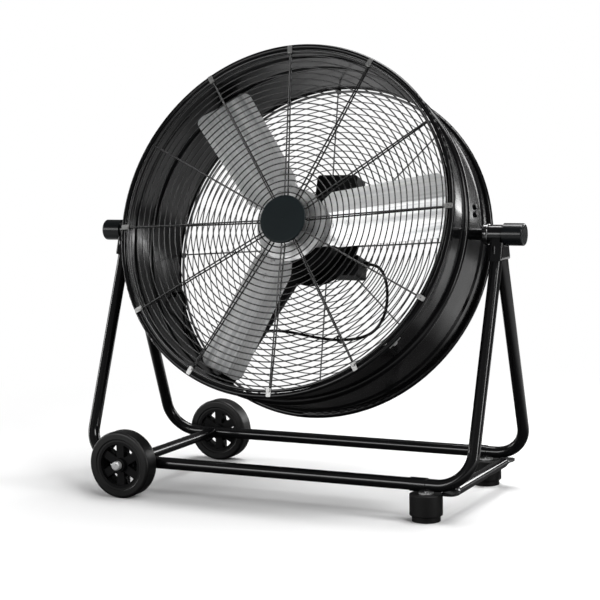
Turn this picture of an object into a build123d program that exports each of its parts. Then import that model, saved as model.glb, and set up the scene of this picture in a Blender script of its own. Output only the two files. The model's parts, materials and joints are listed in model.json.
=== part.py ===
from build123d import *
import os
from math import atan2, cos, degrees, pi, radians, sin, sqrt, tan

# Drum fan on a tubular tilt stand with two wheels and two feet.
# Millimetres.  X runs along the tilt axis, Y to the back, Z up.  The fan blows towards -Y.
# The origin is on the floor, straight below the tilt axis.

os.makedirs("parts", exist_ok=True)

# ---------------------------------------------------------------- driving dimensions
# tilt axis
PIVOT_HEIGHT = 487.0          # tilt axis above the floor
REST_TILT = 18.25             # degrees that the drum looks up at rest
PIVOT_SETBACK = 105.0         # tilt axis behind the drum's front lip

# drum shell, a rolled sheet with curled rims
DRUM_RADIUS = 333.0           # outside of the curled rims
DRUM_DEPTH = 228.0
SHEET = 1.6                   # sheet thickness
CURL_RADIUS = 5.0             # curled rim, half its thickness
WALL_INSET = 11.0             # plain wall inside the rims
END_ZONE_RISE = 3.0           # the wall widens by this at each mouth
END_ZONE_DEPTH = 36.0
END_ZONE_SLOPE = 6.0          # length of the step down to the plain wall
BEAD_CENTRE = 96.0            # stiffening bead behind the front lip
BEAD_WIDTH = 18.0
BEAD_RISE = 8.0
WALL_RADIUS = DRUM_RADIUS - WALL_INSET

# tilt joint
BOSS_RADIUS = 11.0            # boss on the drum wall, behind the crest of the bead
BOSS_HEIGHT = 33.0            # outer face of the boss above the plain wall
FRICTION_RADIUS = 19.0
FRICTION_THICKNESS = 11.7
SLEEVE_RADIUS = 17.0          # stand's sleeve round the stud
SLEEVE_LENGTH = 23.0
STUD_RADIUS = 6.0
STUD_GRIP = 22.0              # length of stud inside the boss
RUNNING_FIT = 0.06            # radial clearance of turning fits
SIDE_PLAY = 0.35              # end clearance between pieces that turn past each other
KNOB_RADIUS = 20.0
KNOB_LENGTH = 40.0
KNOB_NECK_RADIUS = 16.0
KNOB_NECK_LENGTH = 3.0
PIVOT_ROUND = 3.0             # rounded edges of the turned pieces of the tilt joint

# stand
TUBE_RADIUS = 11.0
TUBE_WALL = 1.5
LEG_X = 383.0                 # planes of the splayed legs
RAIL_Y = 160.0                # half spacing of the floor rails
RAIL_HEIGHT = 62.5            # centre of the rails, the same as the wheel axle
LEG_TOP_DROP = 21.0           # leg ends below the tilt axis
LEG_TOP_Y = 13.0              # half spacing of the leg ends
KNEE_DROP = 48.0              # the legs splay from here down
KNEE_Y = 16.0
KNEE_RADIUS = 120.0
BEND_RADIUS = 60.0            # bend from leg to rail
YOKE_THICKNESS = 26.0
YOKE_DROP = 46.0
YOKE_TOP_HALF = 15.0
YOKE_WALL = 2.5
YOKE_ROUND = 6.0
JOINT_X = 290.0               # where each rail is joined
JOINT_LENGTH = 30.0
JOINT_WALL = 1.4
CROSS_TUBE_RADIUS = 10.0
CROSS_X = 346.0               # cross tube under the right-hand bends
TONGUE_THICKNESS = 4.0        # flattened ends of the cross tube
TONGUE_LENGTH = 26.0
TONGUE_HALF_WIDTH = 13.0
TONGUE_TAPER = 18.0

# wheels
WHEEL_RADIUS = 62.5
WHEEL_HALF_WIDTH = 18.0
AXLE_X = -287.0
AXLE_RADIUS = 6.0
SPACER_THICKNESS = 2.0
SPACER_RADIUS = 10.0
HUB_RIM_RADIUS = 44.0
HUB_RIM_WALL = 5.0
HUB_RIM_HALF_WIDTH = 16.5
HUB_BOSS_RADIUS = 13.0
HUB_BOSS_PROUD = 1.0          # boss beyond the tyre's side
HUB_WEB = 4.0
HUB_SPOKES = 6
HUB_SPOKE_WIDTH = 15.0
HUB_SPOKE_DEPTH = 22.0
WINDOW_INNER = 25.0
WINDOW_HALF_ANGLE = 14.0
TYRE_SHOULDER = 5.0
TYRE_LIP = 1.6
CAP_RADIUS = 8.5
CAP_LENGTH = 10.0
CAP_PLAY = 0.5
CAP_SKIRT = 6.0

# feet
FOOT_X = 303.0
FOOT_RADIUS = 29.0
FOOT_LOWER_RADIUS = 25.0
FOOT_LOWER_HEIGHT = 10.0
FOOT_WASHER_RADIUS = 13.0
FOOT_WASHER = 2.2
FOOT_STUD_RADIUS = 4.0
FOOT_STUD_DEPTH = 30.0
FOOT_EDGE = 2.0

# front guard
RING_COUNT = 24
RING_WIRE = 2.5
RING_INNER = 52.0
FRAME_WIRE = 5.0
FRAME_GAP = 1.5               # frame ring inside the curled rim
RING_EDGE = 8.0               # outermost ring inside the frame ring
SPOKE_COUNT = 12
SPOKE_PHASE = 4.0             # degrees
SPOKE_WIRE = 3.0
RING_CHORD = 46.0             # longest straight side of a ring
FRONT_SPOKE_HUB_DEPTH = 16.0
BACK_SPOKE_HUB_DEPTH = 31.0
HUB_CAP_RADIUS = 45.5
HUB_CAP_FACE = 12.0
HUB_CAP_THICKNESS = 12.0
HUB_PLATE_THICKNESS = 10.0
HUB_PLATE_INSET = 6.0
HUB_PLATE_BORE = 15.0
CLIP_WIDTH = 9.0
CLIP_THICKNESS = 1.5
CLIP_SCREW_RADIUS = 3.2
CLIP_SCREW_HEAD = 2.2
CLIP_POSITIONS = (0, 1, 3, 4, 5, 6, 7, 8, 9, 11)
SEAT = 0.25                   # clearance where wires and the pieces that hold them touch
FRAME_DEPTH = 13.0            # depth of the frame ring round the front guard
FRAME_RING_RADIUS = DRUM_RADIUS - 2 * CURL_RADIUS - FRAME_GAP - FRAME_WIRE / 2
RING_OUTER = FRAME_RING_RADIUS - RING_EDGE

# rear guard
REAR_RING_COUNT = 20
REAR_RING_INNER = 70.0
REAR_RING_WIRE = 2.0
REAR_SPOKE_COUNT = 8
REAR_SPOKE_PHASE = 3.5
REAR_PLATE_RADIUS = 60.0
REAR_PLATE_THICKNESS = 2.0
REAR_PLATE_LAP = 4.0          # rear spokes run this far over the plate

# fan blades
BLADE_COUNT = 3
BLADE_PHASE = 8.0
BLADE_DEPTH = 58.0            # middle of the blades behind the front lip
TIP_GAP = 18.4                # blade tip to the inside of the wall
BLADE_TIP = WALL_RADIUS - SHEET - TIP_GAP
BLADE_ROOT = 62.0
BLADE_CHORD = 117.0
CREASE_SHARE = 0.38           # narrow panel, as a share of the chord
WIDE_PITCH = 9.0
NARROW_PITCH = 24.0
BLADE_SHEET = 2.0
BLADE_TIP_ROUND = 18.0
ROOT_HALF_WIDTH = 36.0
SHOULDER_RADIUS = 84.0
SHOULDER_HALF_WIDTH = 49.0
SPIDER_HUB_RADIUS = 40.0
SPIDER_HUB_LENGTH = 26.0
SPIDER_HUB_BACK = 16.0        # back of the hub behind the middle of the blades
SPIDER_HUB_ROUND = 4.0
SPIDER_STEP = 8.0             # raised ring round the shaft, its height and its wall
HUB_DISC_RADIUS = 69.0        # spun disc in front of the blade roots
HUB_DISC_FLAT = 60.0
HUB_DISC_DROP = 3.0
HUB_DISC_SHEET = 2.0
SPIDER_ARM_REACH = 118.0
SPIDER_ARM_HALF_WIDTH = 24.0
SPIDER_ARM_SHEET = 3.0
RIVET_RADIUS = 2.5
RIVET_HEAD_RADIUS = 5.0
RIVET_HEAD = 1.8
RIVET_RADII = (74.0, 106.0)
RIVET_OFFSETS = (-32.0, -8.0)

# motor
SHAFT_RADIUS = 8.0
HUB_BOLT_RADIUS = 4.0
HUB_BOLT_LENGTH = 16.0
HUB_BOLT_FLAT = 8.0           # half the width of the bolt's hexagon
HUB_BOLT_HEAD = 5.0
HUB_WASHER_RADIUS = 13.0
HUB_WASHER = 2.0
SHAFT_END_GAP = 1.0           # shaft end below the washer
MOTOR_RADIUS = 72.0
MOTOR_WALL = 4.0
MOTOR_FRONT = 104.0
MOTOR_LENGTH = 84.0
BELL_LENGTH = 15.0
BELL_NOSE_RADIUS = 46.0
BEARING_RADIUS = 17.5
BEARING_WIDTH = 11.0
STATOR_BORE = 40.0
STATOR_LENGTH = 56.0
AIR_GAP = 0.5
BRACKET_DEPTH = 164.0
BRACKET_SHEET = 3.0
BRACKET_RING_WALL = 18.0
BRACKET_ANGLES = (10.0, 130.0, 241.0)
BRACKET_ARM_WIDTH = 30.0
BRACKET_FOOT = 26.0
BRACKET_FOOT_SHEET = 3.0
BRACKET_RIB_HEIGHT = 10.0
BOLT_RADIUS = 3.0
BOLT_HEAD_RADIUS = 5.5
BOLT_HEAD = 4.0
BOLT_ROUND = 1.5
BOLT_SEAT = 0.2               # bolt head above the curved wall
BOLT_GRIP = 6.0               # length of bolt inside the wall
CAPACITOR_WIDTH = 84.0
CAPACITOR_OFFSET = 24.0
CAPACITOR_TOP = 132.0
CAPACITOR_FRONT = 175.0
CAPACITOR_DEPTH = 40.0
TERMINAL_SIZE = (66.0, 42.0, 40.0)
TERMINAL_CENTRE = (58.0, 192.0, -46.0)
BOX_ROUND = 6.0

# motor lead
LEAD_RADIUS = 2.8
GLAND_RADIUS = 6.0
GLAND_LENGTH = 10.0
GLAND_HEIGHT = -38.0          # lead exit above the motor's axis
GLAND_DEPTH = 198.0
WALL_EXIT_DEPTH = 180.0       # where the lead passes the drum wall
GROMMET_RADIUS = 7.0
GROMMET_NECK = 4.5
GROMMET_FLANGE = 4.0
ARM_CLIP_RADIUS = 247.0       # clip on the lower bracket arm
WALL_CLIP_ANGLES = (226.0, 215.0)
SADDLE_WIDTH = 8.0
SADDLE_FEET = 20.0
SADDLE_STRAP = 1.4
LEAD_HEIGHT = 3.4             # lead's centre line above what it is clipped to
LOOP_GAP = 10.5               # from the lead's loop to the face of the rear guard
TIE_PLACE = (48.0, -182.0)    # cable tie that holds the lead to the rear guard
TIE_WIDTH = 4.0
TIE_STRAP = 1.2
TIE_SLACK = 1.0

# switch box on the hidden lower side of the drum
SWITCH_ANGLE = 200.0
SWITCH_HEIGHT = 34.0
SWITCH_LID = 5.0
SWITCH_LENGTH = 80.0
SWITCH_WIDTH = 66.0
SWITCH_FRONT = 116.0
SWITCH_CORNER = 8.0
SWITCH_STEM_SIDE = 14.0
SWITCH_STEM_HEIGHT = 22.0
SWITCH_STEM_DEPTH = 12.0
SWITCH_KNOB_RADIUS = 15.0
SWITCH_KNOB_LENGTH = 16.0
SWITCH_KNOB_ROUND = 2.0
POINTER_RIB = (2.0, 2.5)      # height and width of the knob's pointer rib
SWITCH_STEM_RADIUS = 4.0
CORD_GLAND_RADIUS = 9.0
CORD_GLAND_LENGTH = 14.0
CORD_BORE = 4.0
LID_SCREW_RADIUS = 3.0
LID_SCREW_HEAD = 2.0
LID_SCREW_INSET = 9.0

# clasp at the seam of the front rim
CLASP_ANGLE = -42.0
CLASP_DEPTH = 17.0
CLASP_LENGTH = 26.0
CLASP_WIDTH = 12.0
CLASP_SHEET = 2.0
CLASP_BOLT_RADIUS = 4.5
CLASP_BOLT_HEAD = 4.0
CLASP_GRIP = 8.0              # height of the clasp's block inside its strap

# ---------------------------------------------------------------- frames and helpers
# Pieces of the drum are drawn with Y counted from the front lip along the drum's own axis.
HEAD = Pos(0, 0, PIVOT_HEIGHT) * Rot(-REST_TILT, 0, 0) * Pos(0, -PIVOT_SETBACK, 0)


def save(node, *solids):
    """Write one node; several solids stay separate."""
    shape = solids[0] if len(solids) == 1 else Compound(list(solids))
    export_step(shape, f"parts/{node}.step")


def save_head(node, *solids):
    """Write a node of the tilted drum."""
    save(node, *[HEAD * solid for solid in solids])


def turned(*profile):
    """Solid of revolution about Y from (radius, depth) corners."""
    return revolve(make_face(Polyline(*profile, close=True)), Axis.Y)


def ring_solid(outer, inner, front, back):
    """Flat ring about Y."""
    return turned((inner, front), (outer, front), (outer, back), (inner, back))


def rod_y(radius, start, end, x=0.0, z=0.0):
    """Round bar along Y."""
    return Pos(x, (start + end) / 2, z) * Rot(90, 0, 0) * Cylinder(radius, abs(end - start))


def rod_x(radius, start, end, y=0.0, z=0.0):
    """Round bar along X."""
    return Pos((start + end) / 2, y, z) * Rot(0, 90, 0) * Cylinder(radius, abs(end - start))


def turn(angle):
    """Carry a piece drawn at three o'clock round to an angle, anticlockwise from the front."""
    return Rot(0, -angle, 0)


def swept_bar(path, radius):
    """Round bar along a path."""
    section = Plane(origin=path @ 0, z_dir=path % 0) * Circle(radius)
    return sweep(section, path=path)


# ---------------------------------------------------------------- drum shell
def sheet_side(inset):
    """One face of the drum's sheet, from mouth to mouth, as (radius, depth) edges."""
    wall = WALL_RADIUS - inset
    mouth = wall + END_ZONE_RISE
    zone = END_ZONE_DEPTH
    step = zone + END_ZONE_SLOPE
    bead_start = BEAD_CENTRE - BEAD_WIDTH / 2
    bead_end = BEAD_CENTRE + BEAD_WIDTH / 2
    front = Polyline((mouth, CURL_RADIUS), (mouth, zone), (wall, step), (wall, bead_start))
    bead = ThreePointArc((wall, bead_start), (wall + BEAD_RISE, BEAD_CENTRE), (wall, bead_end))
    back = Polyline((wall, bead_end), (wall, DRUM_DEPTH - step), (mouth, DRUM_DEPTH - zone),
                    (mouth, DRUM_DEPTH - CURL_RADIUS))
    return front, bead, back


def drum_shell():
    outer = sheet_side(0)
    inner = sheet_side(SHEET)
    ends = (Line(outer[0] @ 0, inner[0] @ 0), Line(outer[2] @ 1, inner[2] @ 1))
    shell = revolve(make_face(Wire([edge for line in (*outer, *inner, *ends) for edge in line.edges()])), Axis.Y)
    for depth in (CURL_RADIUS, DRUM_DEPTH - CURL_RADIUS):
        curl = Pos(DRUM_RADIUS - CURL_RADIUS, depth) * Circle(CURL_RADIUS)
        shell += revolve(curl, Axis.Y)
    return shell


def drum_envelope():
    """Everything inside the outer face of the drum's wall."""
    outer = sheet_side(0)
    start = outer[0] @ 0
    end = outer[2] @ 1
    edges = [edge for line in outer for edge in line.edges()]
    closing = Polyline((end.X, end.Y), (0, end.Y), (0, start.Y), (start.X, start.Y))
    return revolve(make_face(Wire([*edges, *closing.edges()])), Axis.Y)


shell = drum_shell()
envelope = drum_envelope()

# ---------------------------------------------------------------- tilt joint
boss_reach = WALL_RADIUS + BOSS_HEIGHT
friction_outer = boss_reach + FRICTION_THICKNESS
sleeve_inner = friction_outer + SIDE_PLAY
sleeve_outer = sleeve_inner + SLEEVE_LENGTH
knob_inner = sleeve_outer + SIDE_PLAY
stud_bore = STUD_RADIUS + RUNNING_FIT


def pivot_boss():
    """Round boss welded to the wall behind the crest of the bead, bored for the stud."""
    base = WALL_RADIUS - 2 * BOSS_RADIUS
    boss = rod_x(BOSS_RADIUS, base, boss_reach, y=PIVOT_SETBACK)
    bore = rod_x(stud_bore, boss_reach - STUD_GRIP - 1, boss_reach + 1, y=PIVOT_SETBACK)
    return boss - envelope - bore


def friction_washer():
    """Rounded friction washer between the boss and the stand's sleeve."""
    washer = rod_x(FRICTION_RADIUS, boss_reach, friction_outer, y=PIVOT_SETBACK)
    washer = fillet(washer.edges().filter_by(GeomType.CIRCLE), PIVOT_ROUND)
    return washer - rod_x(stud_bore, boss_reach - 1, friction_outer + 1, y=PIVOT_SETBACK)


def pivot_knob():
    """Smooth round clamp knob with a short neck."""
    start = knob_inner
    neck = rod_x(KNOB_NECK_RADIUS, start, start + KNOB_NECK_LENGTH, y=PIVOT_SETBACK)
    grip = rod_x(KNOB_RADIUS, start + KNOB_NECK_LENGTH, start + KNOB_LENGTH, y=PIVOT_SETBACK)
    grip = fillet(grip.edges().group_by(Axis.X)[-1], PIVOT_ROUND)
    socket = rod_x(STUD_RADIUS, start - 1, start + KNOB_LENGTH / 2, y=PIVOT_SETBACK)
    return neck + grip - socket


def pivot_stud():
    """Threaded stud, drawn plain, fixed in the knob and running into the boss."""
    return rod_x(STUD_RADIUS, boss_reach - STUD_GRIP, knob_inner + KNOB_LENGTH / 2, y=PIVOT_SETBACK)


def mirrored(solid):
    return mirror(solid, Plane.YZ)


boss = pivot_boss()
washer = friction_washer()
knob = pivot_knob()
stud = pivot_stud()
save_head("pivot_boss_right", boss)
save_head("pivot_boss_left", mirrored(boss))
save_head("friction_washers", washer, mirrored(washer))
save_head("pivot_knob_right", knob)
save_head("pivot_knob_left", mirrored(knob))
save_head("pivot_stud_right", stud)
save_head("pivot_stud_left", mirrored(stud))

# ---------------------------------------------------------------- stand
knee_z = PIVOT_HEIGHT - KNEE_DROP
top_z = PIVOT_HEIGHT - LEG_TOP_DROP
tube_bore = TUBE_RADIUS - TUBE_WALL


def leg_path(side, end, row):
    """Centre line of one leg and its length of rail; row is -1 in front and 1 behind."""
    points = ((side * LEG_X, row * LEG_TOP_Y, top_z), (side * LEG_X, row * KNEE_Y, knee_z),
              (side * LEG_X, row * RAIL_Y, RAIL_HEIGHT), (end, row * RAIL_Y, RAIL_HEIGHT))
    return FilletPolyline(*points, radius=[KNEE_RADIUS, BEND_RADIUS])


def axle_hole():
    return rod_y(AXLE_RADIUS, -2 * RAIL_Y, 2 * RAIL_Y, AXLE_X, RAIL_HEIGHT)


def foot_hole(row):
    return Pos(FOOT_X, row * RAIL_Y, RAIL_HEIGHT - TUBE_RADIUS) * Cylinder(FOOT_STUD_RADIUS, 2 * TUBE_RADIUS)


solid_legs = []
for side, row, name in ((-1, -1, "front_left"), (1, -1, "front_right"), (-1, 1, "rear_left"), (1, 1, "rear_right")):
    path = leg_path(side, JOINT_X, row)
    solid_leg = swept_bar(path, TUBE_RADIUS)
    leg = solid_leg - swept_bar(path, tube_bore)
    leg -= axle_hole() if side < 0 else foot_hole(row)
    solid_legs.append(solid_leg)
    save(f"leg_tube_{name}", leg)


def pivot_yoke(side):
    """Sleeve for the stud with the welded yoke that holds the two leg ends."""
    bottom = PIVOT_HEIGHT - YOKE_DROP
    foot_half = KNEE_Y + TUBE_RADIUS + YOKE_WALL
    outline = Polyline((-YOKE_TOP_HALF, PIVOT_HEIGHT), (YOKE_TOP_HALF, PIVOT_HEIGHT), (foot_half, bottom),
                       (-foot_half, bottom), close=True)
    plate = extrude(Plane.YZ * make_face(outline), YOKE_THICKNESS / 2, both=True)
    plate = fillet(plate.edges().filter_by(Axis.X, reverse=True), YOKE_ROUND)
    sleeve = rod_x(SLEEVE_RADIUS, sleeve_inner, sleeve_outer, z=PIVOT_HEIGHT)
    above = Pos(LEG_X, 0, PIVOT_HEIGHT + SLEEVE_RADIUS)
    above *= Box(3 * YOKE_THICKNESS, 4 * SLEEVE_RADIUS, 2 * SLEEVE_RADIUS)
    knob_room = rod_x(KNOB_RADIUS + YOKE_WALL, sleeve_outer, LEG_X + YOKE_THICKNESS, z=PIVOT_HEIGHT)
    yoke = (Pos(LEG_X, 0, 0) * plate) - above - knob_room + sleeve
    yoke -= rod_x(stud_bore, 0, 2 * LEG_X, z=PIVOT_HEIGHT)
    if side < 0:
        yoke = mirrored(yoke)
    for solid_leg in solid_legs:
        if side * solid_leg.center().X > 0:
            yoke -= solid_leg
    return yoke


save("pivot_yoke_right", pivot_yoke(1))
save("pivot_yoke_left", pivot_yoke(-1))


def joint_sleeve(row):
    half = JOINT_LENGTH / 2
    outer = rod_x(TUBE_RADIUS + JOINT_WALL, JOINT_X - half, JOINT_X + half, row * RAIL_Y, RAIL_HEIGHT)
    inner = rod_x(TUBE_RADIUS, 0, 2 * JOINT_X, row * RAIL_Y, RAIL_HEIGHT)
    return outer - inner - foot_hole(row)


save("rail_joint_sleeves", joint_sleeve(-1), joint_sleeve(1))


def cross_tube():
    """Right-hand cross tube; its flattened ends lie under the two bends."""
    into_bend = max(0, CROSS_X - TONGUE_HALF_WIDTH - (LEG_X - BEND_RADIUS))
    bend_rise = BEND_RADIUS - sqrt(BEND_RADIUS ** 2 - into_bend ** 2)
    tongue_top = RAIL_HEIGHT + bend_rise - TUBE_RADIUS - SEAT
    centre_z = tongue_top - TONGUE_THICKNESS / 2
    half = RAIL_Y - TONGUE_LENGTH / 2 - TONGUE_TAPER
    bar = rod_y(CROSS_TUBE_RADIUS, -half, half, CROSS_X, centre_z)
    bar -= rod_y(CROSS_TUBE_RADIUS - TUBE_WALL, -half, half, CROSS_X, centre_z)
    for row in (-1, 1):
        tongue_start = RAIL_Y - TONGUE_LENGTH / 2
        round_end = Plane(origin=(CROSS_X, row * half, centre_z), z_dir=(0, row, 0)) * Circle(CROSS_TUBE_RADIUS)
        flat_end = Plane(origin=(CROSS_X, row * tongue_start, centre_z), x_dir=(1, 0, 0), z_dir=(0, row, 0))
        flat_end *= SlotOverall(2 * TONGUE_HALF_WIDTH, TONGUE_THICKNESS)
        bar += loft([round_end, flat_end])
        tongue = Pos(CROSS_X, row * RAIL_Y, centre_z) * Box(2 * TONGUE_HALF_WIDTH, TONGUE_LENGTH, TONGUE_THICKNESS)
        outer_corners = tongue.edges().filter_by(Axis.Z).group_by(Axis.Y)[-1 if row > 0 else 0]
        bar += fillet(outer_corners, TONGUE_HALF_WIDTH - 2)
    return bar


save("cross_tube", cross_tube())


def axle_tube():
    """Left-hand cross tube round the axle, coped to the rails."""
    tube = rod_y(CROSS_TUBE_RADIUS, -RAIL_Y, RAIL_Y, AXLE_X, RAIL_HEIGHT)
    tube -= rod_y(CROSS_TUBE_RADIUS - TUBE_WALL, -RAIL_Y, RAIL_Y, AXLE_X, RAIL_HEIGHT)
    for row in (-1, 1):
        tube -= rod_x(TUBE_RADIUS, AXLE_X - 50, AXLE_X + 50, row * RAIL_Y, RAIL_HEIGHT)
    return tube


save("axle_tube", axle_tube())

# ---------------------------------------------------------------- wheels
rail_side = RAIL_Y + TUBE_RADIUS
boss_half = WHEEL_HALF_WIDTH + HUB_BOSS_PROUD
wheel_y = rail_side + SPACER_THICKNESS + SIDE_PLAY + boss_half
axle_end = wheel_y + boss_half + CAP_PLAY + CAP_SKIRT


def wheel_hub():
    """Moulded hub: rim, web with windows, wide spokes and boss."""
    half = HUB_RIM_HALF_WIDTH
    inner_rim = HUB_RIM_RADIUS - HUB_RIM_WALL
    hub = ring_solid(HUB_RIM_RADIUS, inner_rim, -half, half)
    hub += rod_y(inner_rim + 1, -HUB_WEB / 2, HUB_WEB / 2)
    pitch = 360 / HUB_SPOKES
    for index in range(HUB_SPOKES):
        arm = Box(inner_rim, HUB_SPOKE_DEPTH, HUB_SPOKE_WIDTH, align=(Align.MIN, Align.CENTER, Align.CENTER))
        hub += turn(90 + index * pitch) * arm
        corners = []
        for radius, sign in ((WINDOW_INNER, -1), (inner_rim, -1), (inner_rim, 1), (WINDOW_INNER, 1)):
            angle = radians(90 + (index + 0.5) * pitch + sign * WINDOW_HALF_ANGLE)
            corners.append((radius * cos(angle), radius * sin(angle)))
        window = extrude(Plane.XZ * make_face(Polyline(*corners, close=True)), HUB_WEB, both=True)
        hub -= window
    hub += rod_y(HUB_BOSS_RADIUS, -boss_half, boss_half)
    return hub - rod_y(AXLE_RADIUS + RUNNING_FIT, -2 * boss_half, 2 * boss_half)


def tyre():
    """Solid tyre with rounded shoulders and a lip round the hub."""
    half = WHEEL_HALF_WIDTH
    groove = half - TYRE_LIP
    profile = Polyline((HUB_RIM_RADIUS, -groove), (HUB_RIM_RADIUS + 3, -groove), (HUB_RIM_RADIUS + 5, -half),
                       (WHEEL_RADIUS, -half), (WHEEL_RADIUS, half), (HUB_RIM_RADIUS + 5, half),
                       (HUB_RIM_RADIUS + 3, groove), (HUB_RIM_RADIUS, groove), close=True)
    face = make_face(profile)
    shoulders = face.vertices().group_by(Axis.X)[-1]
    return revolve(fillet(shoulders, TYRE_SHOULDER), Axis.Y)


def axle_cap(row):
    """Domed push cap on the axle's end."""
    start = wheel_y + boss_half + CAP_PLAY
    dome = rod_y(CAP_RADIUS, start, start + CAP_LENGTH)
    dome = fillet(dome.edges().group_by(Axis.Y)[-1], 2.5)
    dome -= rod_y(AXLE_RADIUS, start - 1, axle_end)
    dome = Pos(AXLE_X, 0, RAIL_HEIGHT) * dome
    return dome if row > 0 else mirror(dome, Plane.XZ)


def axle_spacer(row):
    spacer = ring_solid(SPACER_RADIUS, AXLE_RADIUS, rail_side, rail_side + SPACER_THICKNESS)
    spacer = Pos(AXLE_X, 0, RAIL_HEIGHT) * spacer
    return spacer if row > 0 else mirror(spacer, Plane.XZ)


hub = wheel_hub()
rubber = tyre()
for row, name in ((-1, "front"), (1, "rear")):
    place = Pos(AXLE_X, row * wheel_y, RAIL_HEIGHT)
    save(f"wheel_hub_{name}", place * hub)
    save(f"wheel_tyre_{name}", place * rubber)
save("axle_rod", rod_y(AXLE_RADIUS, -axle_end, axle_end, AXLE_X, RAIL_HEIGHT))
save("axle_caps", axle_cap(-1), axle_cap(1))
save("axle_spacers", axle_spacer(-1), axle_spacer(1))

# ---------------------------------------------------------------- feet
joint_bottom = RAIL_HEIGHT - TUBE_RADIUS - JOINT_WALL
foot_height = joint_bottom - FOOT_WASHER
stud_base = foot_height - FOOT_STUD_DEPTH
stud_top = RAIL_HEIGHT - TUBE_RADIUS + TUBE_WALL


def foot():
    """Rubber foot, narrower where it meets the floor."""
    upper = Pos(0, 0, (foot_height + FOOT_LOWER_HEIGHT) / 2) * Cylinder(FOOT_RADIUS, foot_height - FOOT_LOWER_HEIGHT)
    upper = fillet(upper.edges().filter_by(GeomType.CIRCLE), FOOT_EDGE)
    lower = Pos(0, 0, (FOOT_LOWER_HEIGHT + FOOT_EDGE) / 2) * Cylinder(FOOT_LOWER_RADIUS, FOOT_LOWER_HEIGHT + FOOT_EDGE)
    socket = Pos(0, 0, stud_base + foot_height / 2) * Cylinder(FOOT_STUD_RADIUS, foot_height)
    return upper + lower - socket


def foot_stud():
    return Pos(0, 0, (stud_base + stud_top) / 2) * Cylinder(FOOT_STUD_RADIUS, stud_top - stud_base)


def foot_washer():
    middle = Pos(0, 0, foot_height + FOOT_WASHER / 2)
    return middle * (Cylinder(FOOT_WASHER_RADIUS, FOOT_WASHER) - Cylinder(FOOT_STUD_RADIUS, FOOT_WASHER))


front_foot = Pos(FOOT_X, -RAIL_Y, 0)
rear_foot = Pos(FOOT_X, RAIL_Y, 0)
save("foot_front", front_foot * foot())
save("foot_rear", rear_foot * foot())
save("foot_studs", *[place * piece for place in (front_foot, rear_foot) for piece in (foot_stud(), foot_washer())])


# ---------------------------------------------------------------- guards
def wire_ring(radius, wire, depth):
    """Wire ring drawn with straight sides, its front face at a depth."""
    sides = max(12, round(2 * pi * radius / RING_CHORD))
    outer = RegularPolygon(radius + wire / 2, sides)
    inner = RegularPolygon(radius - wire / 2, sides)
    return Pos(0, depth, 0) * extrude(Plane.XZ * (outer - inner), -wire)


def straight_wire(start, end, wire):
    """Square wire between two (radius, depth) points, drawn at three o'clock."""
    run = Vector(end[0] - start[0], end[1] - start[1], 0)
    plane = Plane(origin=(start[0], start[1], 0), x_dir=(0, 0, 1), z_dir=run)
    return extrude(plane * Rectangle(wire, wire), run.length)


def front_wire_depth(radius):
    """Depth of the front spokes' centre line at a radius."""
    share = (FRAME_RING_RADIUS - radius) / (FRAME_RING_RADIUS - HUB_CAP_RADIUS)
    return rim_wire_depth + share * (FRONT_SPOKE_HUB_DEPTH - rim_wire_depth)


rim_wire_depth = SPOKE_WIRE / 2 + 1
back_rim_depth = rim_wire_depth + SPOKE_WIRE + RING_WIRE + 3 * SEAT
frame_inner = FRAME_RING_RADIUS - FRAME_WIRE / 2 - SEAT
front_spokes = []
back_spokes = []
for index in range(SPOKE_COUNT):
    place = turn(90 - index * 360 / SPOKE_COUNT + SPOKE_PHASE)
    hub_edge = HUB_CAP_RADIUS + SEAT
    run = ((hub_edge, FRONT_SPOKE_HUB_DEPTH), (frame_inner, rim_wire_depth))
    front_spokes.append(place * straight_wire(*run, SPOKE_WIRE))
    run = ((hub_edge - HUB_PLATE_INSET, BACK_SPOKE_HUB_DEPTH), (frame_inner, back_rim_depth))
    back_spokes.append(place * straight_wire(*run, SPOKE_WIRE))
save_head("front_guard_spokes", *front_spokes, *back_spokes)

rings = []
for index in range(RING_COUNT):
    radius = RING_INNER + index * (RING_OUTER - RING_INNER) / (RING_COUNT - 1)
    depth = front_wire_depth(radius) + SPOKE_WIRE / 2 + SEAT
    rings.append(wire_ring(radius, RING_WIRE, depth))
rings.append(ring_solid(FRAME_RING_RADIUS + FRAME_WIRE / 2, FRAME_RING_RADIUS - FRAME_WIRE / 2, 0, FRAME_DEPTH))
save_head("front_guard_rings", *rings)


def hub_cap():
    """Plain round cap in the middle of the front guard."""
    back = HUB_CAP_FACE + HUB_CAP_THICKNESS
    cap = rod_y(HUB_CAP_RADIUS, HUB_CAP_FACE, back)
    return fillet(cap.edges().group_by(Axis.Y)[0], 1.5)


def hub_plate():
    """Plate behind the cap that carries the back spokes."""
    start = HUB_CAP_FACE + HUB_CAP_THICKNESS
    return ring_solid(HUB_CAP_RADIUS - HUB_PLATE_INSET, HUB_PLATE_BORE, start, start + HUB_PLATE_THICKNESS)


save_head("front_guard_cap", hub_cap())
save_head("front_guard_hub_plate", hub_plate())


def rim_clip(angle, front, outward):
    """Folded clip that ties the guard's frame ring to the curled rim; outward is -1 in front."""
    inner = FRAME_RING_RADIUS - FRAME_WIRE / 2 - CLIP_THICKNESS
    outer = DRUM_RADIUS - CURL_RADIUS / 2
    plate_y = front + outward * CLIP_THICKNESS / 2
    plate = Pos((inner + outer) / 2, plate_y, 0) * Box(outer - inner, CLIP_THICKNESS, CLIP_WIDTH)
    return turn(angle) * fillet(plate.edges().filter_by(Axis.Y), 2)


def clip_screw(angle, front, outward):
    """Round screw head on a clip."""
    start = front + outward * CLIP_THICKNESS
    return turn(angle) * rod_y(CLIP_SCREW_RADIUS, start, start + outward * CLIP_SCREW_HEAD, x=FRAME_RING_RADIUS)


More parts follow.
